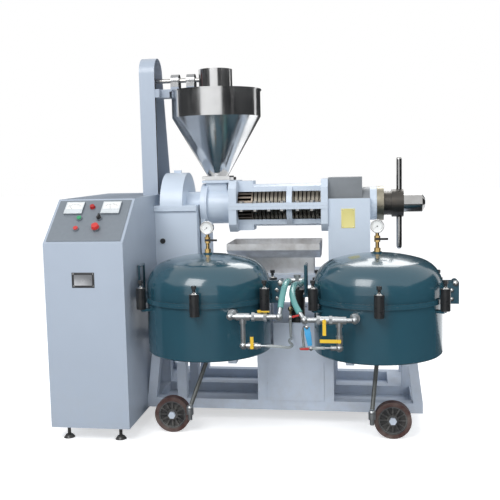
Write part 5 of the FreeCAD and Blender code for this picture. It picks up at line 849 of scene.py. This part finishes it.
def make_gauge_dials():
    """Bezel, dial and needle of both pressure gauges, made on the left and copied to the right."""
    place = Matrix.Translation((TANK_PLACES["left"], GAUGE_FRONT, GAUGE_HEIGHT)) @ FACING_FRONT
    bezel = start_disc(radius=0.0325, depth=0.0045, sides=64, base=-0.0015)
    wear_finishes(bezel, "polished trim", "left dial")
    pick_faces(bezel, is_front)
    inset_front(bezel, width=0.0045, depth=-0.0022, slot=1)
    bezel = finish_piece(bezel, "left_gauge_dial", place, "left_cover", "stainless")
    turn = Matrix.Translation((0, 0, 0.0006)) @ Matrix.Rotation(GAUGE_NEEDLE_TURN, 4, "Z")
    needle, cap = make_needle("left_gauge_needle", place @ turn, 0.0215, "left_cover")
    right_bezel = copy_piece(bezel, "right_gauge_dial", TO_RIGHT_TANK, "right_cover")
    right_bezel.data.materials[1] = FINISHES["right dial"]
    copy_piece(needle, "right_gauge_needle", TO_RIGHT_TANK, "right_cover")
    copy_piece(cap, "right_gauge_needle_cap", TO_RIGHT_TANK, "right_cover")


def make_meters():
    """Windows, scales and needles of the two meters on the console."""
    place = METER_PLACES["left"]
    window = start_box((0.091, 0.079, 0.0034), (0, 0, 0.0013))
    wear_finishes(window, "meter white", "left meter")
    pick_faces(window, is_front)
    inset_front(window, width=0.0055, depth=-0.0014, slot=1)
    window = finish_piece(window, "left_meter_window", place, ROOT, "console_plate", edge=0.0007)
    apron = start_box((0.0796, 0.023, 0.0016), (0, -0.0222, 0.0024))
    wear_finishes(apron, "meter white")
    pick_faces(apron, is_front)
    inset_front(apron, width=0.003, depth=0.0006)
    apron = finish_piece(apron, "left_meter_apron", place, ROOT, "console_plate")
    to_right = (METER_X["right"] - METER_X["left"], 0, 0)
    right_window = copy_piece(window, "right_meter_window", to_right)
    right_window.data.materials[1] = FINISHES["right meter"]
    copy_piece(apron, "right_meter_apron", to_right)
    for side, place in METER_PLACES.items():
        pivot = Matrix.Translation((0, -0.022, 0.0014)) @ Matrix.Rotation(METER_NEEDLE_TURNS[side], 4, "Z")
        make_needle(f"{side}_meter_needle", place @ pivot, 0.047, ROOT)


def make_rivet(name, place):
    """A low round head."""
    rivet = start_disc(radius=0.0024, depth=0.0008, sides=20)
    wear_finishes(rivet, "polished trim")
    pick_faces(rivet, is_front)
    bpy.ops.mesh.inset(thickness=0.0008, depth=0.0005)
    bpy.ops.mesh.inset(thickness=0.0007, depth=0.0002)
    return finish_piece(rivet, name, place, ROOT, "machined_steel", edge=0.0002)


# How far the middle of a rivet is from the edges of its plate.
RIVET_MARGIN = 0.007


def make_plate(name, low, high, front, finishes, slot, rim):
    """A bare plate on a front face, with a rim and four rivets."""
    width, height = high[0] - low[0], high[1] - low[1]
    middle = ((low[0] + high[0]) / 2, front, (low[1] + high[1]) / 2)
    place = Matrix.Translation(middle) @ FACING_FRONT
    plate = start_box((width, height, 0.0018), (0, 0, 0.0005))
    wear_finishes(plate, *finishes)
    pick_faces(plate, is_front)
    inset_front(plate, width=rim, depth=-0.0005, slot=1)
    finish_piece(plate, name, place, ROOT, slot)
    across, up = width / 2 - RIVET_MARGIN, height / 2 - RIVET_MARGIN
    rivet = make_rivet(f"{name}_rivet_0", place @ Matrix.Translation((-across, -up, 0.0008)))
    shifts = ((2 * across, 0, 0), (2 * across, 0, 2 * up), (0, 0, 2 * up))
    for number, shift in enumerate(shifts, 1):
        copy_piece(rivet, f"{name}_rivet_{number}", shift)


def make_plates():
    """The plate on the cabinet and the one on the pedestal, both bare."""
    make_plate("cabinet_plate", low=(-0.921, 0.746), high=(-0.811, 0.818), front=CABINET_FRONT,
               finishes=("plate black", "plate silver"), slot="black_steel", rim=0.011)
    make_plate("pedestal_plate", low=(0.320, 0.961), high=(0.391, 1.063), front=PEDESTAL_FRONT,
               finishes=("plate yellow", "plate yellow"), slot="lever_yellow", rim=0.004)


def make_bolt(name, place, radius):
    """A hexagon bolt head on a washer."""
    thick = radius * 0.22
    washer = start_disc(radius * 1.25, depth=thick, sides=32)
    wear_finishes(washer, "polished trim")
    pick_faces(washer, is_front)
    bpy.ops.mesh.inset(thickness=radius * 0.1, depth=radius * 0.04)
    bpy.ops.object.mode_set(mode="OBJECT")
    head = start_disc(radius, depth=radius * 0.72, sides=6, base=thick)
    wear_finishes(head, "polished trim")
    pick_faces(head, is_front)
    bpy.ops.mesh.inset(thickness=radius * 0.14, depth=radius * 0.1)
    bpy.ops.object.mode_set(mode="OBJECT")
    washer.select_set(True)
    bpy.ops.object.join()
    return finish_piece(head, name, place, ROOT, "machined_steel", edge=radius * 0.05)


# The pin and two bolts of a hinge: how far from the middle of the tank, how high, and their radius.
HINGE_BOLTS = [(0.356, 0.735, 0.0105), (0.338, 0.702, 0.0075), (0.338, 0.661, 0.0075)]


def make_hinge_bolts():
    """Pin heads and bolts on the front cheeks of both lid hinges."""
    for number, (along, height, radius) in enumerate(HINGE_BOLTS):
        place = Matrix.Translation((TANK_PLACES["left"] + along, HINGE_FRONT, height)) @ FACING_FRONT
        bolt = make_bolt(f"left_hinge_bolt_{number}", place, radius)
        copy_piece(bolt, f"right_hinge_bolt_{number}", TO_RIGHT_TANK)


# A small lever: its thickness, the share of its length that is bare, and the radius of its nut.
LEVER_THICKNESS = 0.006
BARE_SHARE = 0.28
NUT_RADIUS = 0.0065


def make_small_lever(name, start, end, width, finish, slot):
    """A flat lever that runs from its stem to a dipped sleeve."""
    along = Vector(end) - Vector(start)
    length = along.length
    thick = LEVER_THICKNESS
    bar = start_box((length * (1 - BARE_SHARE), width, thick), (length * (1 + BARE_SHARE) / 2, 0, 0))
    wear_finishes(bar, finish, "polished trim")
    pick_faces(bar, lambda face: face.normal.x < -0.9)
    bpy.ops.mesh.inset(thickness=thick * 0.2, depth=0)
    bpy.ops.mesh.extrude_region_move(TRANSFORM_OT_translate={"value": (-length * BARE_SHARE, 0, 0)})
    bar.active_material_index = 1
    bpy.ops.object.material_slot_assign()
    pick_faces(bar, lambda face: face.normal.x > 0.9)
    bpy.ops.transform.resize(value=(1, 0.7, 0.7))
    turn = Matrix.Rotation(math.atan2(along.z, along.x), 4, "Z")
    place = Matrix.Translation(start) @ FACING_FRONT @ turn
    finish_piece(bar, name, place, ROOT, slot, edge=thick * 0.18)
    nut_place = Matrix.Translation(Vector(start) + Vector((0, -thick / 2, 0))) @ FACING_FRONT
    make_bolt(name + "_nut", nut_place, NUT_RADIUS)


def make_small_levers():
    """Handles of the small valves that don't move."""
    make_small_lever("blue_valve_handle", (0.186, -0.868, 0.594), (0.199, -0.868, 0.512), 0.028,
                     "blue sleeve", "lever_black")
    make_small_lever("red_valve_handle", (0.203, -0.866, 0.498), (0.155, -0.866, 0.496), 0.011,
                     "red sleeve", "button_red")
    make_small_lever("red_tee_handle", (0.112, -0.835, 0.630), (0.150, -0.835, 0.640), 0.010,
                     "red sleeve", "button_red")


def make_card(name, place, size, turn):
    """A dark card that only polished metal and gloss can see."""
    bpy.ops.object.select_all(action="DESELECT")
    bpy.ops.mesh.primitive_plane_add(size=1, location=place, rotation=turn)
    card = bpy.context.object
    card.name = name
    material = bpy.data.materials.new(name)
    material.use_nodes = True
    shader = material.node_tree.nodes["Principled BSDF"]
    shader.inputs["Base Color"].default_value = (0.015, 0.016, 0.018, 1)
    card.data.materials.append(material)
    card.scale = (*size, 1)
    card.visible_camera = False
    card.visible_diffuse = False
    card.visible_shadow = False
    card.visible_transmission = False


def make_lamp(name, place, target, size, power, mirrored=True):
    """A soft square lamp that faces a point, and that gloss may mirror or not."""
    lamp = bpy.data.lights.new(name, "AREA")
    lamp.size = size
    lamp.energy = power
    thing = bpy.data.objects.new(name, lamp)
    thing.location = place
    thing.visible_glossy = mirrored
    thing.rotation_euler = (Vector(target) - Vector(place)).to_track_quat("-Z", "Y").to_euler()
    bpy.context.collection.objects.link(thing)


def seen_white(tree):
    """One for rays that come from the camera, from gloss or through clear pieces, nought for the light."""
    path = add_node(tree, "ShaderNodeLightPath")
    seen = maths(tree, "MAXIMUM", path.outputs["Is Camera Ray"], path.outputs["Is Transmission Ray"])
    return maths(tree, "MAXIMUM", seen, path.outputs["Is Glossy Ray"])


def make_world():
    """White surroundings that light the object softly."""
    scene = bpy.context.scene
    scene.view_settings.view_transform = "Standard"
    world = bpy.data.worlds.new("studio")
    scene.world = world
    world.use_nodes = True
    tree = world.node_tree
    tree.nodes.clear()
    room = add_node(tree, "ShaderNodeBackground")
    room.inputs["Color"].default_value = (0.93, 0.96, 1.0, 1)
    room.inputs["Strength"].default_value = 0.62
    white = add_node(tree, "ShaderNodeBackground")
    white.inputs["Color"].default_value = (1, 1, 1, 1)
    choose = add_node(tree, "ShaderNodeMixShader")
    link(tree, seen_white(tree), choose.inputs[0])
    link(tree, room.outputs[0], choose.inputs[1])
    link(tree, white.outputs[0], choose.inputs[2])
    link(tree, choose.outputs[0], add_node(tree, "ShaderNodeOutputWorld").inputs[0])


def make_floor():
    """Pale floor that keeps the shadow of the object."""
    bpy.ops.object.select_all(action="DESELECT")
    bpy.ops.mesh.primitive_plane_add(size=60, location=(0, 0, -0.0005))
    floor = bpy.context.object
    floor.name = "studio_floor"
    material = bpy.data.materials.new("studio floor")
    material.use_nodes = True
    tree = material.node_tree
    shader = tree.nodes["Principled BSDF"]
    shader.inputs["Base Color"].default_value = (0.86, 0.86, 0.86, 1)
    shader.inputs["Roughness"].default_value = 0.9
    glow = add_node(tree, "ShaderNodeEmission")
    link(tree, maths(tree, "MULTIPLY", seen_white(tree), 0.55), glow.inputs["Strength"])
    both = add_node(tree, "ShaderNodeAddShader")
    link(tree, shader.outputs[0], both.inputs[0])
    link(tree, glow.outputs[0], both.inputs[1])
    link(tree, both.outputs[0], tree.nodes["Material Output"].inputs["Surface"])
    floor.data.materials.append(material)


def make_studio():
    """Pale floor, white surroundings, three soft lamps, and dark cards for gloss to mirror."""
    make_world()
    make_floor()
    make_lamp("key", (-1.6, -4.2, 4.2), target=(0, -0.2, 0.8), size=2.6, power=150)
    make_lamp("fill", (3.6, -3.4, 2.2), target=(0.1, -0.2, 0.8), size=2.4, power=45, mirrored=False)
    make_lamp("rim", (0.6, 2.6, 3.6), target=(0, 0, 1.0), size=2.2, power=60)
    upright = math.radians(90)
    make_card("floor_card", (0.0, -2.2, 0.003), (12.0, 6.5), (0, 0, 0))
    make_card("back_card", (0.5, 4.8, 2.3), (8.0, 4.6), (upright, 0, 0))
    make_card("left_card", (-4.5, -4.8, 1.6), (2.9, 3.4), (upright, 0, 0))
    make_card("right_card", (3.8, -4.8, 1.6), (4.0, 3.4), (upright, 0, 0))
    make_card("far_left_card", (-6.0, -1.8, 1.6), (6.0, 3.4), (upright, 0, upright))
    make_card("far_right_card", (5.9, -0.2, 1.6), (9.2, 3.4), (upright, 0, upright))


make_camera()
make_studio()
dress_nodes()
make_hoses()
make_gauge_dials()
make_meters()
make_plates()
make_hinge_bolts()
make_small_levers()
